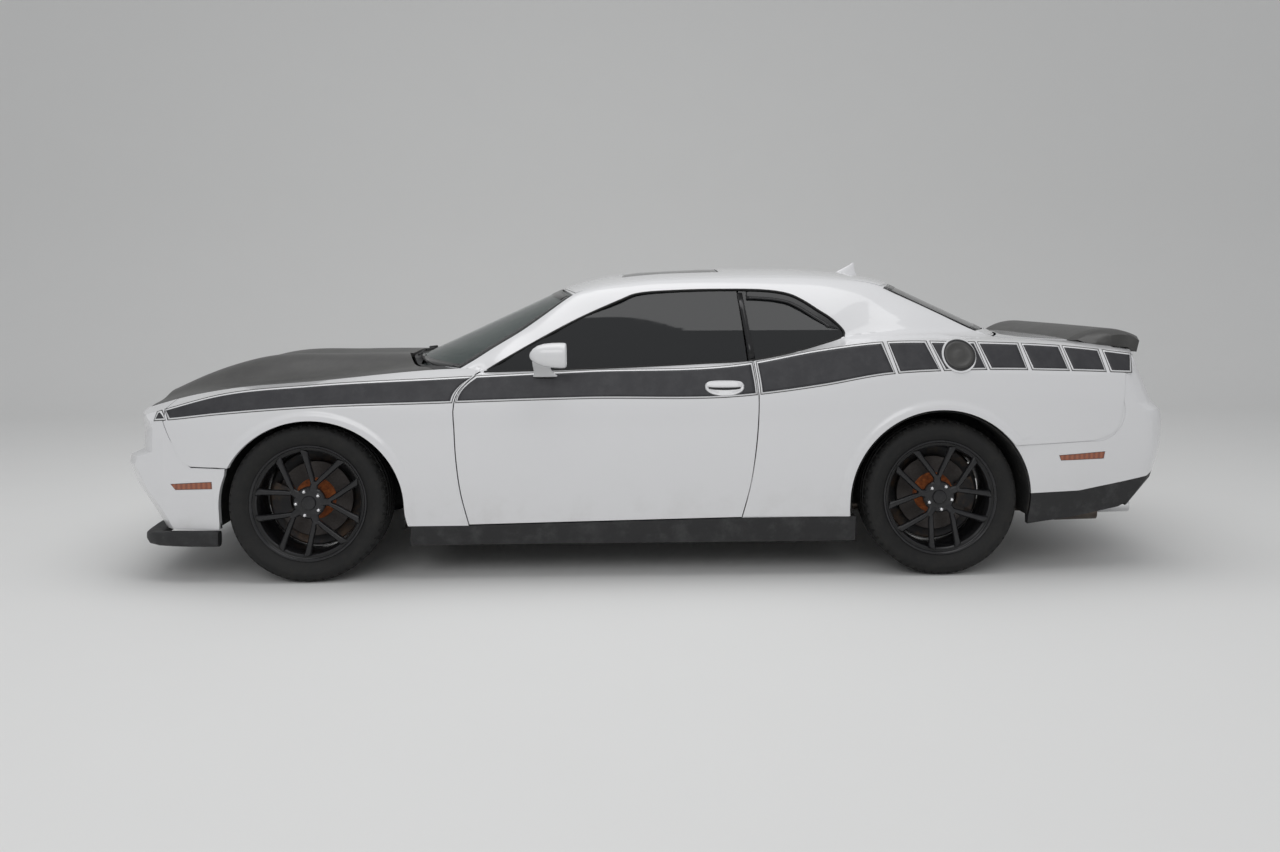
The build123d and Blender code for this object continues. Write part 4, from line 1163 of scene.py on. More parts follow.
fenderLines, fenderBows = fenderColumns()
fenderGrid = patch(fenderLines, [2, 6, 14, 7, 4], ["side", "side", "side", "side", "top"], fenderBows)
followEdge(fenderGrid, lambda z: doorFront(z) + lineGap, 900, 13)
quarterLower, quarterBows, shoulderRail = quarterColumns()
quarterGrid = patch(quarterLower, [2, 4, 14, 5], ["side"] * 4, quarterBows)
followEdge(quarterGrid, lambda z: doorRear(z) - lineGap, 1010, 14)
pillarGrid = patch(pillarColumns(), [cPillarTurns], ["skin"])
upperGrid = patch(upperQuarterColumns(shoulderRail, pillarGrid[-1]), [12], ["skin"])
doorGrid = doorRows()
doorTrim = shifted(cropped(doorGrid, 0.06, 0.95, 0.08, 0.97), panelSettings["door"] + 1)
for hand, mirrored in (("left", False), ("right", True)):
    skinPiece([doorGrid], "doorShell." + hand, "whitePaint", "door_" + hand, "white_paint",
              ("door_" + hand,), panelSettings["door"], 0, mirrored)
    skinPiece([doorTrim], "doorTrim." + hand, "softTrim", "door_" + hand, "trim", (), 9, 0, mirrored, 3)
    skinPiece([quarterGrid, pillarGrid, upperGrid], "quarterSkin." + hand, "whitePaint", "root",
              "white_paint", (), panelSettings["skin"], 0, mirrored)
    sunkCopy("body_side_" + hand, "sideStructure." + hand, "whitePaint", "white_paint", panelSettings)
skinPiece([fenderGrid, [[(x, -y, z) for x, y, z in row] for row in fenderGrid]], "frontFenders",
          "whitePaint", "root", "white_paint", ("front_fenders",), panelSettings["fender"])
print("side panels made")


# seams and stripes

def ribbon(points, width, depth):
    # a narrow grid along a line of the side, depth behind the surface
    rows = []
    for index, (x, z) in enumerate(points):
        ahead, behind = points[min(index + 1, len(points) - 1)], points[max(index - 1, 0)]
        run, rise = ahead[0] - behind[0], ahead[1] - behind[1]
        length = hypot(run, rise)
        nx, nz = -rise / length * width / 2, run / length * width / 2
        rows.append([(x + nx * step, bodyY(x + nx * step, z + nz * step) - depth, z + nz * step)
                     for step in (-1, 0, 1)])
    return rows


def edgeLine(curve, offset, low, high, count=24):
    levels = [mix(low, high, index / count) for index in range(count + 1)]
    return [(curve(z) + offset, z) for z in levels]


seamSettings = {"width": 22, "depth": 22, "thick": 2}
seams = [
    ribbon(edgeLine(doorFront, 2.5, 268, 905), seamSettings["width"], seamSettings["depth"]),
    ribbon(edgeLine(doorRear, -2.5, 290, 985), seamSettings["width"], seamSettings["depth"]),
]
for hand, mirrored in (("left", False), ("right", True)):
    skinPiece(seams, "doorSeal." + hand, "rubber", "root", "black_plastic", (), seamSettings["thick"], 0,
              mirrored, 0)

stripeSettings = {"outline": 3.5, "white": 6.0, "lift": (0.7, 1.1, 1.5), "thick": 0.5, "rows": 12}
# name, body, front x at the crease and at the shoulder, rear x at both
stripeBlocks = [
    ("tip", "root", (2302, 2294), (2239, 2268)),
    ("fender", "root", (2230, 2257), ("doorFront", 9)),
    ("door", "door", ("doorFront", -4), ("doorRear", 4)),
    ("quarter", "root", ("doorRear", -9), (-1143, -1096)),
    ("block1", "root", (-1156, -1114), (-1356, -1303)),
    ("block2", "root", (-1370, -1317), (-1575, -1537)),
    ("block3", "root", (-1587, -1546), (-1769, -1744)),
    ("block4", "root", (-1787, -1756), (-1970, -1944)),
    ("block5", "root", (-1981, -1955), (-2154, -2140)),
    ("block6", "root", (-2172, -2156), (-2284, -2306)),
]


def stripeEnd(end, share):
    if end[0] == "doorFront":
        z = mix(826, 946, share)
        return (doorFront(z) if z < 930 else mix(838, 798, (z - 930) / 30)) + end[1]
    if end[0] == "doorRear":
        return doorRear(mix(850, 1002, share)) + end[1]
    return mix(end[0], end[1], share)


def stripeGrid(front, rear, inset, lift, rows):
    # from the crease to the shoulder, standing clear of the paint
    count = max(4, int(abs(stripeEnd(front, 0) - stripeEnd(rear, 0)) / 18))
    grid = []
    for index in range(count + 1):
        column = []
        for level in range(rows + 1):
            share = level / rows
            x = mix(stripeEnd(front, share) - inset, stripeEnd(rear, share) + inset, index / count)
            low, high = feature("crease", x)[1] + 2 + inset, feature("shoulder", x)[1] + 1 - inset
            z = mix(low, high, share)
            column.append((x, bodyY(x, z) + lift, z + lift * 0.4))
        grid.append(column)
    return grid


for hand, mirrored in (("left", False), ("right", True)):
    for name, body, front, rear in stripeBlocks:
        owner = body if body == "root" else body + "_" + hand
        layers = (("Outline", "satinBlack", "satin_black", 0.0),
                  ("Line", "whitePaint", "white_paint", stripeSettings["outline"]),
                  ("", "stripeBlack", "satin_black", stripeSettings["outline"] + stripeSettings["white"]))
        for (kind, finish, slot, inset), lift in zip(layers, stripeSettings["lift"]):
            grid = stripeGrid(front, rear, inset, lift, stripeSettings["rows"])
            skinPiece([grid], name + "Stripe" + kind + "." + hand, finish, owner, slot, (),
                      stripeSettings["thick"], 0, mirrored, 0)
print("stripes made")


# hood, roof and boot lid

def hoodRows():
    rows = []
    for index in range(71):
        share = index / 70
        row = []
        for step in range(-28, 29):
            side = step / 28
            rear = 1262 - 236 * side * side
            front = 2440 - 52 * (side * 640 / 740) ** 2
            x = mix(rear, front - 16, share)
            y = side * hoodHalf(x)
            row.append((x, y, topZ(x, y)))
        rows.append(row)
    last = rows[-1]
    for ahead, drop in ((8, 3), (13, 9), (16, 18), (16, 34)):
        rows.append([(x + ahead, y, z - drop) for x, y, z in last])
    return rows


roofSettings = {"front": 444, "frontBow": 80, "rear": -1294, "rearBow": 120, "holeFront": 130,
                "holeRear": -365, "holeHalf": 380, "thick": 24}


def roofRows(settings):
    # rows follow the bowed ends outside the sunroof and run straight along its edges
    rows = []
    for part, count in ((0, 26), (1, 16), (2, 10)):
        for index in range(count + (part == 2)):
            share = index / count
            row = []
            for step in range(-26, 27):
                side = step / 26
                front = settings["front"] - settings["frontBow"] * side * side
                rear = settings["rear"] + settings["rearBow"] * side * side
                marks = [rear, settings["holeRear"], settings["holeFront"], front]
                x = mix(marks[part], marks[part + 1], share)
                half = mix(520, 548, (x - settings["rear"]) / 1738) - 3
                if abs(step) <= 18:
                    y = step / 18 * settings["holeHalf"]
                else:
                    y = mix(settings["holeHalf"], half, (abs(step) - 18) / 8) * (1 if step > 0 else -1)
                row.append((x, y, onSkin(x, abs(y))[2]))
            rows.append(row)
    return rows


def inHole(point, settings):
    x, y = point.x / mm, point.y / mm
    return settings["holeRear"] < x < settings["holeFront"] and abs(y) < settings["holeHalf"]


def deckRows(front, rear, half, steps, wide):
    rows = []
    for index in range(steps + 1):
        row = []
        for step in range(-wide, wide + 1):
            side = step / wide
            x = mix(front(side), rear(side), index / steps)
            y = side * half(x)
            point = onSkin(x, abs(y))
            row.append((x, y, point[2]))
        rows.append(row)
    return rows


skinPiece([hoodRows()], "hoodSkin", "satinBlack", "hood", "satin_black", ("hood",), 24)
skinPiece([roofRows(roofSettings)], "roofSkin", "whitePaint", "root", "white_paint", ("roof_panel",),
          roofSettings["thick"], hole=lambda point: inHole(point, roofSettings))
lidGrid = deckRows(lambda side: -1864 + 152 * side * side, lambda side: -2362 + 14 * side * side,
                   lambda x: 637, 40, 26)
skinPiece([lidGrid], "lidSkin", "whitePaint", "trunk_lid", "white_paint", (), 3.0, 2.6)
print("top panels made")


# mirrors, handles and trim

def oval(centre, half, tall, axis, square=2.0, count=32):
    # a ring of points round an axis, squarer with a higher power
    x, y, z = centre
    ring = []
    for index in range(count):
        turn = 2 * pi * index / count
        across, up = cos(turn), sin(turn)
        across = half * abs(across) ** (2 / square) * (1 if across > 0 else -1)
        up = tall * abs(up) ** (2 / square) * (1 if up > 0 else -1)
        ring.append({"x": (x, y + across, z + up), "y": (x + across, y, z + up),
                     "z": (x + across, y + up, z)}[axis])
    return ring


def throughRings(rings):
    # a closed skin through rings of points, both ends drawn in to their middles
    rows = [ring + ring[:1] for ring in rings]
    for index in (0, -1):
        middle = tuple(sum(part) / len(rings[index]) for part in zip(*rings[index]))
        rows.insert(0 if index == 0 else len(rows), [middle] * len(rows[1]))
    bm = gridPiece(rows)
    bmesh.ops.remove_doubles(bm, verts=bm.verts, dist=0.00002)
    bmesh.ops.dissolve_degenerate(bm, edges=bm.edges, dist=0.00001)
    bmesh.ops.recalc_face_normals(bm, faces=bm.faces)
    return bm


def tube(points, radius, sides=10):
    # a round strip along a line of points
    rings = []
    for index, point in enumerate(points):
        ahead = Vector(points[min(index + 1, len(points) - 1)])
        run = (ahead - Vector(points[max(index - 1, 0)])).normalized()
        across = run.cross(Vector((0, 0, 1) if abs(run.z) < 0.8 else (0, 1, 0))).normalized()
        up = across.cross(run)
        ring = [Vector(point) + across * radius * cos(2 * pi * side / sides)
                + up * radius * sin(2 * pi * side / sides) for side in range(sides)]
        rings.append([tuple(corner) for corner in ring])
    return throughRings(rings)


def bothHands(make, name, finish, body, slot, nodes=(), **more):
    # the same piece on the left side and, turned over, on the right
    for hand in ("left", "right"):
        bm = make()
        if hand == "right":
            flipped(bm)
        owner = body if body == "root" else body + "_" + hand
        place(bm, name + "." + hand, finish, owner, slot, tuple(node + "_" + hand for node in nodes), **more)


mirrorSettings = {
    # along x | across | up | height of the middle
    "shell": [(549, 5, 5, 1049), (545, 17, 15, 1050), (533, 32, 29, 1052), (512, 43, 42, 1053),
              (484, 50, 51, 1052), (448, 53, 56, 1051), (412, 53, 58, 1050), (390, 52, 57, 1050),
              (384, 49.5, 54.5, 1050), (383, 46.5, 51.5, 1050), (391, 45, 50, 1050)],
    "middle": 1037,
    # middle x, y, z | half length | half width
    "stalk": [((487, 898, 938), 61, 16), ((487, 901, 947), 59, 19), ((490, 911, 955), 50, 18),
              ((495, 926, 968), 43, 17), ((499, 946, 984), 40, 17), ((500, 966, 1000), 41, 19),
              ((498, 990, 1018), 43, 22), ((492, 1012, 1036), 40, 24)],
}


def mirrorShell():
    rings = [oval((x, mirrorSettings["middle"], z), across, up, "x", 2.35)
             for x, across, up, z in mirrorSettings["shell"]]
    stalk = [oval(middle, half, wide, "z", 2.2) for middle, half, wide in mirrorSettings["stalk"]]
    return joined(throughRings(rings), throughRings(stalk))


bothHands(mirrorShell, "mirrorShell", "whitePaint", "door", "white_paint", ("mirror",), sharp=50)
bothHands(lambda: throughRings([oval((x, 1037, 1050), 44.5, 49.5, "x", 2.35) for x in (391.5, 388)]),
          "mirrorGlass", "chrome", "door", "rim_black")
bothHands(lambda: throughRings([oval((487, 896, 936), 64, 17, "z", 2.2),
                                oval((487, 899, 943), 64, 20, "z", 2.2)]),
          "mirrorGasket", "rubber", "door", "black_plastic")


def padGrid(centre, outline, profile, steps=56):
    # a patch on the side: outline gives the reach of each turn, profile its share and its lift
    rows = []
    for index in range(steps + 1):
        reachX, reachZ = outline(2 * pi * index / steps)
        row = []
        for share, lift in profile:
            x, z = centre[0] + reachX * share, centre[1] + reachZ * share
            row.append((x, bodyY(x, z) + lift, z + lift * 0.3))
        rows.append(row)
    return rows


def handleOutline(turn):
    # flat and round cornered above, a shallow bowl below
    across, up = cos(turn), sin(turn)
    power = 2 / 3.2 if up > 0 else 2 / 2.1
    return (91 * abs(across) ** power * (1 if across > 0 else -1),
            (31 if up > 0 else -40) * abs(up) ** power)


def paddleOutline(turn):
    across, up = cos(turn), sin(turn)
    power = 2 / 3.6
    return (84 * abs(across) ** power * (1 if across > 0 else -1),
            (16 if up > 0 else -15) * abs(up) ** power)


handleCentre = (-346, 892)
for hand, mirrored in (("left", False), ("right", True)):
    bezel = padGrid(handleCentre, handleOutline, [(0, 1.8), (0.5, 1.8), (0.82, 2.2), (0.88, 4.6), (0.95, 5.2),
                                                  (1.0, 2.0)])
    slot = padGrid((-346, 888), lambda turn: (80 * cos(turn), 9.5 * sin(turn)),
                   [(0, 3.2), (0.9, 3.2), (1.0, 2.4)])
    paddle = padGrid((-346, 904), paddleOutline, [(0, 10.5), (0.7, 10.2), (0.9, 9.4), (1.0, 6.5)])
    skinPiece([bezel], "handleBezel." + hand, "whitePaint", "door_" + hand, "white_paint", (), 2, 0,
              mirrored, 0)
    skinPiece([slot], "handleSlot." + hand, "glossBlack", "door_" + hand, "black_plastic", (), 2, 0,
              mirrored, 0)
    skinPiece([paddle], "handlePaddle." + hand, "whitePaint", "door_" + hand, "white_paint", (), 5, 0,
              mirrored, 1)

circle = lambda radius: lambda turn: (radius * cos(turn), radius * sin(turn))
fillerCentre = (-1449, 1034)
skinPiece([padGrid(fillerCentre, circle(82), [(0.86, 3.0), (0.9, 5.0), (0.97, 5.0), (1.0, 1.5)], 72)],
          "fillerRing", "whitePaint", "root", "white_paint", (), 2, 0, False, 0)


def fillerFace():
    # the lid's dished face, turned about its own axis
    lid = spunRing([(0, 8.2), (20, 8.0), (24, 6.9), (50, 6.9), (54, 8.6), (63, 8.9), (67.5, 7.4), (67.5, 6),
                    (0, 6)], 72, closeProfile=False)
    bmesh.ops.rotate(lid, cent=(0, 0, 0), matrix=Matrix.Rotation(radians(25), 3, "X"), verts=lid.verts)
    return moved(lid, (-1.449, 0.926, 1.034))


place(fillerFace(), "fillerFace", "satinBlack", "fuel_door", "black_plastic", sharp=40)


def glassEdge(first, last, step=6):
    # points along the frame of the side glass, from the mirror over the roof rail to the rear tip
    inner, _ = pillarPairs()
    curves = [Curve(list(enumerate(values))) for values in zip(*inner)]
    count = step * (last - first)
    marks = [mix(first, last, index / count) for index in range(int(count) + 1)]
    return [(curves[0](at), cabinSide(curves[0](at), curves[1](at)) + 1.5, curves[1](at) - 2) for at in marks]


def beltEdge(first, last, count):
    return [(x, cabinSide(x, beltLine(x)) + 1, beltLine(x) + 2)
            for x in (mix(first, last, index / count) for index in range(count + 1))]


bothHands(lambda: tube(glassEdge(0.3, 14), 5.5), "glassRubber", "rubber", "root", "black_plastic")
bothHands(lambda: tube(beltEdge(780, -452, 40), 4.5), "beltRubber", "rubber", "door", "black_plastic")
bothHands(lambda: tube(beltEdge(-474, -918, 20), 4.5), "quarterRubber", "rubber", "root", "black_plastic")
for hand, mirrored in (("left", False), ("right", True)):
    divider = []
    for step in (-26, -13, 0):
        line = [(mix(-430, -474, share) + step, mix(1330, 1012, share)) for share in (0, 0.25, 0.5, 0.75, 1)]
        divider.append([(x, cabinSide(x, z) + 0.5, z) for x, z in line])
    skinPiece([divider], "divider." + hand, "glossBlack", "root", "black_plastic", (), 5, 0, mirrored, 0)
print("mirrors, handles and rubbers made")


# screens, wipers and aerial

screenSettings = {
    # lower and upper height at the middle and at the sides
    "front": {"low": (985, 966), "high": (1353, 1319), "tuck": (0.964, 0.944)},
    "rear": {"low": (1145, 1143), "high": (1379, 1356), "tuck": (0.985, 0.985)},
}


def screenGrid(end, sides, heights, wide, tall):
    # part of a screen, by its shares across, -1 to 1, and up, 0 to 1
    settings = screenSettings[end]
    base, top = screens[end + "Base"], screens[end + "Top"]
    rows = []
    for index in range(wide + 1):
        side = mix(*sides, index / wide)
        low = mix(*settings["low"], side * side)
        high = mix(*settings["high"], side * side)
        row = []
        for level in range(tall + 1):
            up = mix(*heights, level / tall)
            z = mix(low, high, up)
            x = mix(base[0], top[0], (z - base[1]) / (top[1] - base[1]))
            tuck = side * mix(*settings["tuck"], up)
            if end == "front":
                half = frontEdge[1](z)
                x -= (x - frontEdge[0](z)) * tuck ** 2
            else:
                half = rearEdge(z)
                x += screens["rearSweep"] * (1.45 - z / 3300) * tuck ** 2
            row.append((x, tuck * half, z))
        rows.append(row)
    return rows


for end, name, finish, node in (("front", "windshieldGlass", "screenGlass", "windshield"),
                                ("rear", "backlightGlass", "sideGlass", "rear_window")):
    skinPiece([screenGrid(end, (-1, 1), (0, 1), 32, 18)], name, finish, "root", "glass", (node,), 5, -4,
              bevel=0)
    # the printed black border, in four strips just proud of the glass
    strips = [screenGrid(end, (-0.99, -0.94), (0.01, 0.99), 2, 18),
              screenGrid(end, (0.94, 0.99), (0.01, 0.99), 2, 18),
              screenGrid(end, (-0.95, 0.95), (0.01, 0.07), 32, 2),
              screenGrid(end, (-0.95, 0.95), (0.93, 0.99), 32, 2)]
    skinPiece(strips, end + "ScreenBorder", "glossBlack", "root", "black_plastic", (), 1.2, -2.8, bevel=0)


def fritGrid(first, last, width, steps):
    # the printed edge of the quarter glass, from its outline inwards
    inner, _ = pillarPairs()
    curves = [Curve(list(enumerate(values))) for values in zip(*inner)]
    rows = []
    for index in range(steps + 1):
        at = mix(first, last, index / steps)
        x, z = curves[0](at), curves[1](at)
        run = Vector((curves[0](at + 0.1) - curves[0](at - 0.1), curves[1](at + 0.1) - curves[1](at - 0.1)))
        run.normalize()
        wide = width * min(1.0, (last - at) * 1.2 + 0.12)
        row = []
        for step in range(4):
            px, pz = x - run.y * wide * step / 3, z + run.x * wide * step / 3
            row.append((px, cabinSide(px, pz) - 2.2, pz))
        rows.append(row)
    return rows


for hand, mirrored in (("left", False), ("right", True)):
    skinPiece([fritGrid(7.6, 12.9, 46, 44)], "quarterFrit." + hand, "glossBlack", "root", "black_plastic", (),
              1.0, 0, mirrored, 0)


def wiperLine(points, lift):
    return [(x, y, onSkin(x, abs(y))[2] + lift) for x, y in points]


def makeWipers():
    parts = []
    for pivot, blade in (((1165, 395), [(1090, 560), (1165, 330), (1196, 80)]),
                         ((1205, -150), [(1196, 20), (1180, -230), (1105, -520)])):
        (startX, startY), (bendX, bendY), (endX, endY) = blade
        edge = []
        for step in range(13):
            if step <= 6:
                x = cubic(2 * startX - bendX, startX, bendX, endX, step / 6)
                edge.append((x, mix(startY, bendY, step / 6)))
            else:
                x = cubic(startX, bendX, endX, 2 * endX - bendX, step / 6 - 1)
                edge.append((x, mix(bendY, endY, step / 6 - 1)))
        parts.append(tube(wiperLine(edge, 9), 4.5))
        halfway = (mix(pivot[0], bendX, 0.5), mix(pivot[1], bendY, 0.5))
        parts.append(tube(wiperLine([pivot, halfway, (bendX, bendY)], 18), 6))
    return joined(*parts)


place(makeWipers(), "wipers", "moulding", "root", "black_plastic")
place(throughRings([oval((x, 0, z), half, wide, "z") for x, z, half, wide in (
    (-1092, 1416, 74, 17), (-1096, 1430, 62, 14), (-1106, 1446, 46, 10), (-1122, 1464, 27, 6.5),
    (-1136, 1480, 12, 4), (-1142, 1491, 4, 2.5))]), "aerial", "whitePaint", "root", "white_paint", sharp=50)
print("screens and aerial made")


# chin spoiler, arch liners and tailpipes

splitterSettings = {
    # x, y | half width | middle z | half height
    "line": [(1988, 886, 24, 207, 39), (2050, 884, 26, 207, 39), (2120, 877, 28, 206, 38.5),
             (2200, 861, 33, 205, 37), (2262, 838, 36, 202, 35), (2308, 800, 38, 198, 31),
             (2338, 745, 39, 196, 28), (2356, 670, 40, 194, 25), (2374, 540, 41, 193, 23),
             (2391, 380, 41, 192.5, 21), (2402, 200, 41.5, 192, 20), (2408, 0, 42, 192, 19.5)],
}


def makeSplitter(settings):
    half = settings["line"]
    line = half + [(x, -y, wide, z, tall) for x, y, wide, z, tall in reversed(half[:-1])]
    rings = []
    for index, (x, y, wide, z, tall) in enumerate(line):
        ahead, behind = line[min(index + 1, len(line) - 1)], line[max(index - 1, 0)]
        run = Vector((ahead[0] - behind[0], ahead[1] - behind[1])).normalized()
        out = Vector((run.y, -run.x))
        ring = []
        for across, _, up in oval((0, 0, 0), wide, tall, "y", 3.4, 40):
            # the top falls away outwards from a thin upturned lip
            lip = 7 * max(across / wide, 0) ** 3 if up > 0 else 0
            ring.append((x - out.x * across, y - out.y * across, z + up - 7 * (up > 0) + lip))
        rings.append(ring)
    return throughRings(rings)


place(makeSplitter(splitterSettings), "chinSpoiler", "moulding", "root", "black_plastic", ("front_splitter",),
      sharp=50)

# radius, first and last angle, inner y, set back from the panel, room for the steered tyre
linerSettings = {"front": (412, -14, 196, 640, 24, 37), "rear": (424, -10, 190, 700, 12, 0)}
for end, (radius, low, high, inner, back, room) in linerSettings.items():
    archX, archZ, _, wide = arches[end]
    rows = []
    for index in range(49):
        turn = radians(mix(low, high, index / 48))
        x, z = archX + radius * wide * cos(turn), archZ + radius * sin(turn)
        outer = bodyY(x, max(z, 262)) - back
        grow = room * min(max((80 - degrees(turn)) / 30, 0), 1)
        rows.append([])
        for share in (0, 0.3, 0.6, 0.84, 0.9, 0.96, 1):
            y = mix(inner, outer, share)
            more = grow * min((outer - y) / 36, 1)
            rows[-1].append((x + more * wide * cos(turn), y, z + more * sin(turn)))
    for hand, mirrored in (("left", False), ("right", True)):
        skinPiece([rows], end + "Liner." + hand, "underseal", "root", "black_plastic", (), 3, 0, mirrored, 0)


def alongPipes(profile, shut):
    # a turned part on the axis of each tail pipe
    parts = []
    for hand in (1, -1):
        part = spunRing(profile, 48, closeProfile=shut)
        bmesh.ops.rotate(part, cent=(0, 0, 0), matrix=Matrix.Rotation(radians(90 - 11 * hand), 3, "Z"),
                         verts=part.verts)
        bmesh.ops.rotate(part, cent=(0, 0, 0), matrix=Matrix.Rotation(radians(3.5), 3, "Y"), verts=part.verts)
        parts.append(moved(part, (-2.270, 0.5366 * hand, 0.2544)))
    return joined(*parts)


place(alongPipes([(40.6, 0), (43, 3), (43.5, 10), (43.5, 146), (41.5, 150), (39, 148), (38.5, 128),
                  (40.6, 124)], True), "tailTips", "chrome", "root", "exhaust_steel", sharp=50)
# a dark disc just inside each pipe: real soot, and painted shade for the pipe's dark hollow
place(alongPipes([(0, 124), (39.5, 124), (39.5, 122), (0, 122)], False), "tailSootAndShade", "underseal", "root",
      "exhaust_steel", sharp=50)
print("chin spoiler, liners and tail tips made")


# seats

seatShapes = {
    # outline x, z | from y to y | edge rounding | crown | grooves across y
    "frontBase": ([(318, 352), (327, 400), (317, 452), (282, 482), (210, 480), (80, 462), (-60, 452),
                   (-160, 452), (-215, 430), (-228, 385), (-205, 345), (40, 336), (240, 338)],
                  172, 618, 46, 7, (-0.42, 0.42)),
    "frontBack": ([(-172, 462), (-196, 560), (-232, 690), (-268, 820), (-302, 940), (-326, 1020),
                   (-350, 1036), (-400, 1030), (-420, 985), (-400, 860), (-362, 690), (-318, 540),
                   (-280, 452), (-225, 436)], 168, 622, 46, 8, (-0.40, 0.40)),
    "frontRest": ([(-338, 1066), (-343, 1130), (-350, 1184), (-376, 1208), (-404, 1204), (-420, 1172),
                   (-428, 1110), (-426, 1066), (-385, 1056)], 306, 484, 34, 4, ()),
    "rearBase": ([(-552, 440), (-556, 500), (-572, 548), (-622, 574), (-760, 566), (-900, 548), (-985, 552),
                  (-1010, 530), (-1000, 490), (-900, 430), (-760, 380), (-620, 372)],
                 10, 548, 44, 7, (-0.5, 0.45)),
    "rearBack": ([(-1086, 600), (-1128, 700), (-1168, 800), (-1214, 910), (-1250, 988), (-1282, 1014),
                  (-1316, 1004), (-1318, 960), (-1282, 840), (-1240, 700), (-1204, 600), (-1160, 566),
                  (-1110, 568)], 10, 548, 42, 8, (-0.5, 0.45)),
}
seatSettings = {"voxel": 0.011, "pressure": 3.2, "frames": 14, "cap": 0.011}


def makeCushion(settings):
    # a crowned pillow form: outlines drawn in towards both sides and over the sewn channels
    outline, low, high, rounding, crown, grooves = settings
    middle = tuple(sum(part) / len(outline) for part in zip(*outline))
    closedLine = [Curve(list(enumerate([outline[-2][axis], outline[-1][axis]]
                                       + [point[axis] for point in outline]
                                       + [outline[0][axis], outline[1][axis]]))) for axis in (0, 1)]
    count = len(outline) * 5
    points = [tuple(curve(2 + index / 5) for curve in closedLine) for index in range(count)]
    half = (high - low) / 2
    rings = []
    for step in range(41):
        side = sin(pi * (step / 40 - 0.5))
        depth = max(abs(side) * half - (half - rounding), 0) / rounding
        inset = rounding * (1 - sqrt(max(1 - depth * depth, 0))) * 0.92
        swell = crown * (1 - side * side)
        for groove in grooves:
            swell -= 9 * max(1 - abs(side - groove) / 0.055, 0)
        ring = []
        for x, z in points:
            reach = hypot(x - middle[0], z - middle[1])
            scale = max(reach - inset + swell - crown, 6) / reach
            ring.append((middle[0] + (x - middle[0]) * scale, mix(low, high, (side + 1) / 2),
                         middle[1] + (z - middle[1]) * scale))
        rings.append(ring)
    return throughRings(rings)


def puffed(bm, settings):
    # the form remeshed evenly and blown up as cloth, its movement capped
    mesh = bpy.data.meshes.new("cushionForm")
    bm.to_mesh(mesh)
    form = bpy.data.objects.new("cushionForm", mesh)
    bpy.context.scene.collection.objects.link(form)
    remesh = form.modifiers.new("remesh", "REMESH")
    remesh.mode = "VOXEL"
    remesh.voxel_size = settings["voxel"]
    graph = bpy.context.evaluated_depsgraph_get()
    even = bpy.data.meshes.new_from_object(form.evaluated_get(graph))
    form.modifiers.clear()
    form.data = even
    rest = [vert.co.copy() for vert in even.vertices]
    cloth = form.modifiers.new("cloth", "CLOTH")
    cloth.settings.quality = 4
    cloth.settings.mass = 0.3
    cloth.settings.use_pressure = True
    cloth.settings.uniform_pressure_force = settings["pressure"]
    cloth.settings.effector_weights.gravity = 0
    scene = bpy.context.scene
    for frameNumber in range(1, settings["frames"] + 1):
        scene.frame_set(frameNumber)
    blown = bpy.data.meshes.new_from_object(form.evaluated_get(bpy.context.evaluated_depsgraph_get()))
    scene.frame_set(1)
    for vert, start in zip(blown.vertices, rest):
        move = vert.co - start
        if move.length > settings["cap"]:
            move *= settings["cap"] / move.length
        vert.co = start + move
    made = bmesh.new()
    made.from_mesh(blown)
    bmesh.ops.smooth_vert(made, verts=made.verts, factor=0.5, use_axis_x=True, use_axis_y=True,
                          use_axis_z=True)
    bmesh.ops.recalc_face_normals(made, faces=made.faces)
    bpy.data.objects.remove(form)
    return made


def seatHands(name):
    bm = makeCushion(seatShapes[name])
    bm = puffed(bm, seatSettings)
    return bm


for name, node in (("frontBase", "front_seats"), ("frontBack", "front_seats"), ("frontRest", "front_seats"),
                   ("rearBase", "rear_seat"), ("rearBack", "rear_seat")):
    cushion = seatHands(name)
    for hand in ("left", "right"):
        half = cushion.copy() if hand == "left" else flipped(cushion.copy())
        piece = place(half, name + "." + hand, "leather", "root", "seat", (node,), sharp=60, levels=1)
    cushion.free()


def beam(low, high, round_=4):
    # a box between two corners, its edges softened
    bm = bmesh.new()
    bmesh.ops.create_cube(bm, size=1.0)
    for vert in bm.verts:
        vert.co = Vector([mix(a, b, 0.5 + part) for a, b, part in zip(low, high, vert.co)]) * mm
    bmesh.ops.bevel(bm, geom=bm.edges[:], offset=round_ * mm, segments=2, profile=0.5, affect="EDGES",
                    material=-1, clamp_overlap=True)
    return bm


def seatFrame():
    rails = [beam((-198, y, 210), (258, y + 28, 338)) for y in (181, 581)]
    posts = [tube([(-372, y, 1020), (-376, y, 1075)], 6) for y in (350, 440)]
    return joined(beam((-200, 176, 322), (268, 614, 352), 10), *rails, *posts)


bothHands(seatFrame, "seatFrame", "chassisSteel", "root", "chassis_steel")
print("seats made")


# cabin and lamp details

def disc(centre, profile, steps=48):
    # a turned part facing along the car, from (radius, forward) pairs
    bm = spunRing(profile, steps, closeProfile=False)
    bmesh.ops.rotate(bm, cent=(0, 0, 0), matrix=Matrix.Rotation(-pi / 2, 3, "Z"), verts=bm.verts)
    return moved(bm, [value * mm for value in centre])


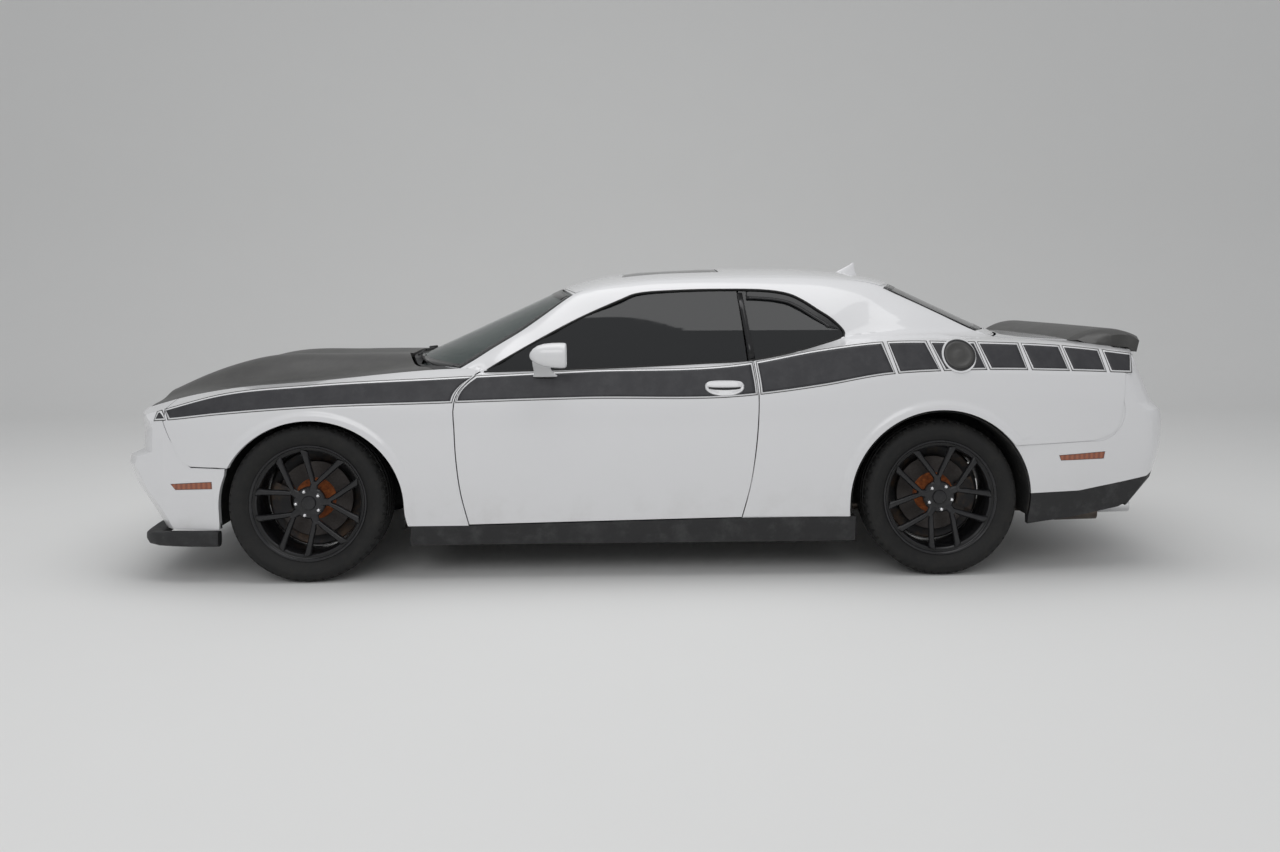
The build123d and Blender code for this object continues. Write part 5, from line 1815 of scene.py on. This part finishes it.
dialProfile = [(0, -0.5), (48, -0.5), (50, -4), (54, -6), (57, -4), (58, 0), (58, 3), (0, 3)]
place(joined(*[disc((517, 370 + step, 925), dialProfile) for step in (-62, 62)]), "dials", "chrome", "root",
      "black_plastic")
place(joined(*[disc((514, 370 + step, 925), [(0, -1), (47, -1), (47, 0), (0, 0)]) for step in (-62, 62)]),
      "dialFaces", "glossBlack", "root", "black_plastic")
vents = []
for y in (-600, -170, 170, 600):
    vents.append(beam((551, y - 62, 880), (566, y + 62, 934), 5))
    vents += [beam((547, y - 56, z), (553, y + 56, z + 4), 1) for z in (888, 898, 908, 918)]
place(joined(*vents), "vents", "moulding", "root", "black_plastic")
place(beam((546, -104, 760), (572, 104, 868), 6), "centreScreen", "glossBlack", "root", "black_plastic")
place(joined(beam((-40, -52, 448), (150, 52, 478), 9), beam((-330, -92, 432), (-90, 92, 470), 14),
             tube([(200, 0, 452), (186, 0, 520), (176, 0, 560)], 8),
             throughRings([oval((173, 0, z), half, half, "z", 2.4) for z, half in
                           ((548, 12), (556, 22), (574, 26), (590, 22), (596, 12))])),
      "console", "softTrim", "root", "trim")
skinPiece([roofRows(roofSettings)], "headliner", "softTrim", "root", "trim", (), 3, -25,
          hole=lambda point: inHole(point, roofSettings))


def lampParts(profile):
    units = [disc((x, y * hand, 688), profile) for x, y in ((2395, 455), (2372, 625)) for hand in (1, -1)]
    return joined(*units)


place(lampParts([(53, 38), (57, 39.5), (61, 37), (63.5, 30), (63.5, 26), (58, 28), (54, 34)]), "lampRings",
      "chrome", "root", "rim_black")
place(lampParts([(0, 20), (20, 18), (31, 10), (33, 2), (50, 6), (58, 22), (60, 22), (60, -4), (0, -6)]),
      "lampBowls", "chrome", "root", "rim_black")
place(lampParts([(0, 33), (14, 31), (25, 25), (30, 16), (31, 10), (0, 8)]), "lampEyes", "screenGlass", "root",
      "lamp_glass")
print("cabin and lamps made")


# under the hood

def upright(centre, profile, steps=48):
    # a turned part standing up, from (radius, height) pairs
    bm = spunRing(profile, steps, closeProfile=False)
    bmesh.ops.rotate(bm, cent=(0, 0, 0), matrix=Matrix.Rotation(pi / 2, 3, "X"), verts=bm.verts)
    return moved(bm, [value * mm for value in centre])


def bent(points, radius, steps=8):
    # a hose through a few points, its line eased between them
    curves = [Curve(list(enumerate(values))) for values in zip(*points)]
    count = (len(points) - 1) * steps
    return tube([tuple(curve(index / steps) for curve in curves) for index in range(count + 1)], radius, 14)


covers = []
for hand in (1, -1):
    low, high = sorted((118 * hand, 262 * hand))
    covers.append(beam((1318, low, 858), (1812, high, 904), 14))
    covers += [beam((x, low + 14, 900), (x + 9, high - 14, 909), 3) for x in range(1350, 1790, 36)]
    covers += [upright((x, 190 * hand, 908), [(0, 10), (6, 10), (7, 8), (7, 0), (0, 0)], 12)
               for x in (1336, 1566, 1796)]
place(joined(*covers), "valveCovers", "glossBlack", "root", "engine_iron", sharp=40)
place(joined(upright((1500, 0, 868), [(0, 74), (20, 74), (24, 68), (150, 60), (164, 52), (170, 40), (170, 10),
                                      (160, 0), (0, 0)], 72),
             beam((1600, -42, 872), (1852, 42, 916), 12)), "airCleaner", "satinBlack", "root", "engine_iron",
      sharp=40)
place(joined(upright((1500, 0, 941), [(0, 16), (7, 15), (9, 8), (22, 6), (24, 0), (0, 0)], 24),
             *[disc((1880, y, z), [(0, 34), (12, 34), (16, 28), (radius - 10, 22), (radius - 4, 30),
                                   (radius, 30), (radius, 0), (0, 0)])
               for y, z, radius in ((0, 470, 92), (0, 690, 74), (165, 620, 52), (-165, 640, 58),
                                    (150, 780, 40))]),
      "pulleys", "discIron", "root", "engine_iron", sharp=40)
place(joined(bent([(1905, 60, 800), (2010, 120, 850), (2130, 230, 846), (2215, 300, 800)], 22),
             bent([(1905, -90, 560), (2010, -190, 520), (2120, -260, 500), (2215, -300, 500)], 22),
             bent([(1300, 230, 870), (1200, 330, 880), (1120, 420, 850)], 11),
             bent([(1310, -200, 880), (1220, -330, 890), (1120, -400, 860)], 9),
             bent([(1420, 262, 872), (1500, 380, 860), (1640, 470, 850), (1800, 520, 820)], 8)),
      "hoses", "rubber", "root", "black_plastic")
bayBoxes = [beam((1120, -600, 640), (1320, -400, 828), 12), beam((1120, -596, 826), (1316, -404, 846), 6),
            beam((1840, 380, 640), (2060, 560, 800), 22), beam((1960, -560, 600), (2120, -380, 812), 20),
            beam((1090, -220, 850), (1150, 220, 900), 14)]
bayTurned = [upright((1560, 560 * hand, 778), [(0, 62), (26, 62), (30, 56), (62, 52), (74, 44), (78, 0),
                                               (0, 0)])
             for hand in (1, -1)]
place(joined(*bayBoxes, *bayTurned), "bayBoxes", "moulding", "root", "black_plastic", sharp=40)
booster = disc((1090, 430, 790), [(0, 96), (40, 96), (46, 84), (96, 60), (112, 48), (116, 34), (112, 20),
                                  (96, 8), (0, 4)])
place(joined(booster, disc((1180, 430, 790), [(0, 120), (22, 120), (26, 112), (26, 0), (0, 0)])),
      "brakeBooster", "engineIron", "root", "engine_iron", sharp=40)
place(joined(*[upright((x, y, z), [(0, 16), (16, 16), (22, 14), (24, 10), (24, 0), (0, 0)], 28)
               for x, y, z in ((1950, 470, 800), (2040, -470, 812), (1250, 430, 812))]), "caps", "glossBlack",
      "root", "black_plastic", sharp=40)
print("engine bay dressed")


# bumpers, lid, spoiler and skirts: the node's own form with its facets shaded into one surface

def openArch(bm):
    # draws the bumper's ends forward to the widened opening
    archX, archZ, radius, wide = arches["front"]
    for vert in bm.verts:
        x, z = vert.co.x / mm, vert.co.z / mm
        rise = min(abs(z - archZ) / radius, 1)
        edge = archX + radius * sqrt(1 - rise * rise)
        if edge - 3 < x < edge + 60:
            shift = archX + radius * wide * (sqrt(1 - rise * rise) if z > archZ else 1) - edge
            shift *= 1 - max(x - edge, 0) / 60
            vert.co.x += shift * mm
            vert.co.y += (sideY(x + shift, z) - sideY(x, z)) * (1 if vert.co.y > 0 else -1) * mm


def smoothCopy(node, finish, body, slot, angle):
    bm = bmesh.new()
    bm.from_mesh(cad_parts[node].data)
    bmesh.ops.remove_doubles(bm, verts=bm.verts, dist=0.00002)
    bmesh.ops.dissolve_degenerate(bm, edges=bm.edges, dist=0.00002)
    if node == "front_bumper":
        openArch(bm)
    piece = place(bm, node + "Form", finish, body, slot, (node,), sharp=angle)
    even = piece.modifiers.new("even", "WEIGHTED_NORMAL")
    even.keep_sharp = True
    return piece


for node, finish, body, slot, angle in (
        ("front_bumper", "whitePaint", "root", "white_paint", 5),
        ("rear_bumper", "whitePaint", "root", "white_paint", 24),
        ("trunk_lid", "whitePaint", "trunk_lid", "white_paint", 24),
        ("rear_deck_panel", "whitePaint", "root", "white_paint", 24),
        ("spoiler", "satinBlack", "trunk_lid", "satin_black", 34),
        ("rear_valance", "moulding", "root", "black_plastic", 24),
        ("side_skirts", "moulding", "root", "black_plastic", 24)):
    smoothCopy(node, finish, body, slot, angle)
print("bumpers and lid smoothed")


# CAD nodes that keep their shape

nodeFinishes = {
    "moulding": ["cowl", "grille", "fuel_door"],
    "sideGlass": ["door_glass_left", "door_glass_right", "quarter_windows", "sunroof_glass"],
    "softTrim": ["dashboard", "steering_wheel"],
    "underseal": ["underbody", "front_structure"],
    "chassisSteel": ["front_subframe", "rear_suspension", "knuckle_left", "knuckle_right"],
    "exhaustSteel": ["exhaust"],
    "engineIron": ["engine_block"],
    "lampGlass": ["headlamps"],
    "redLens": ["tail_lamps"],
    "amberLens": ["side_markers"],
}
for finish, names in nodeFinishes.items():
    for name in names:
        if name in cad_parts:
            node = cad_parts[name]
            node.data.materials.clear()
            node.data.materials.append(finishes[finish])
print("carried nodes finished")
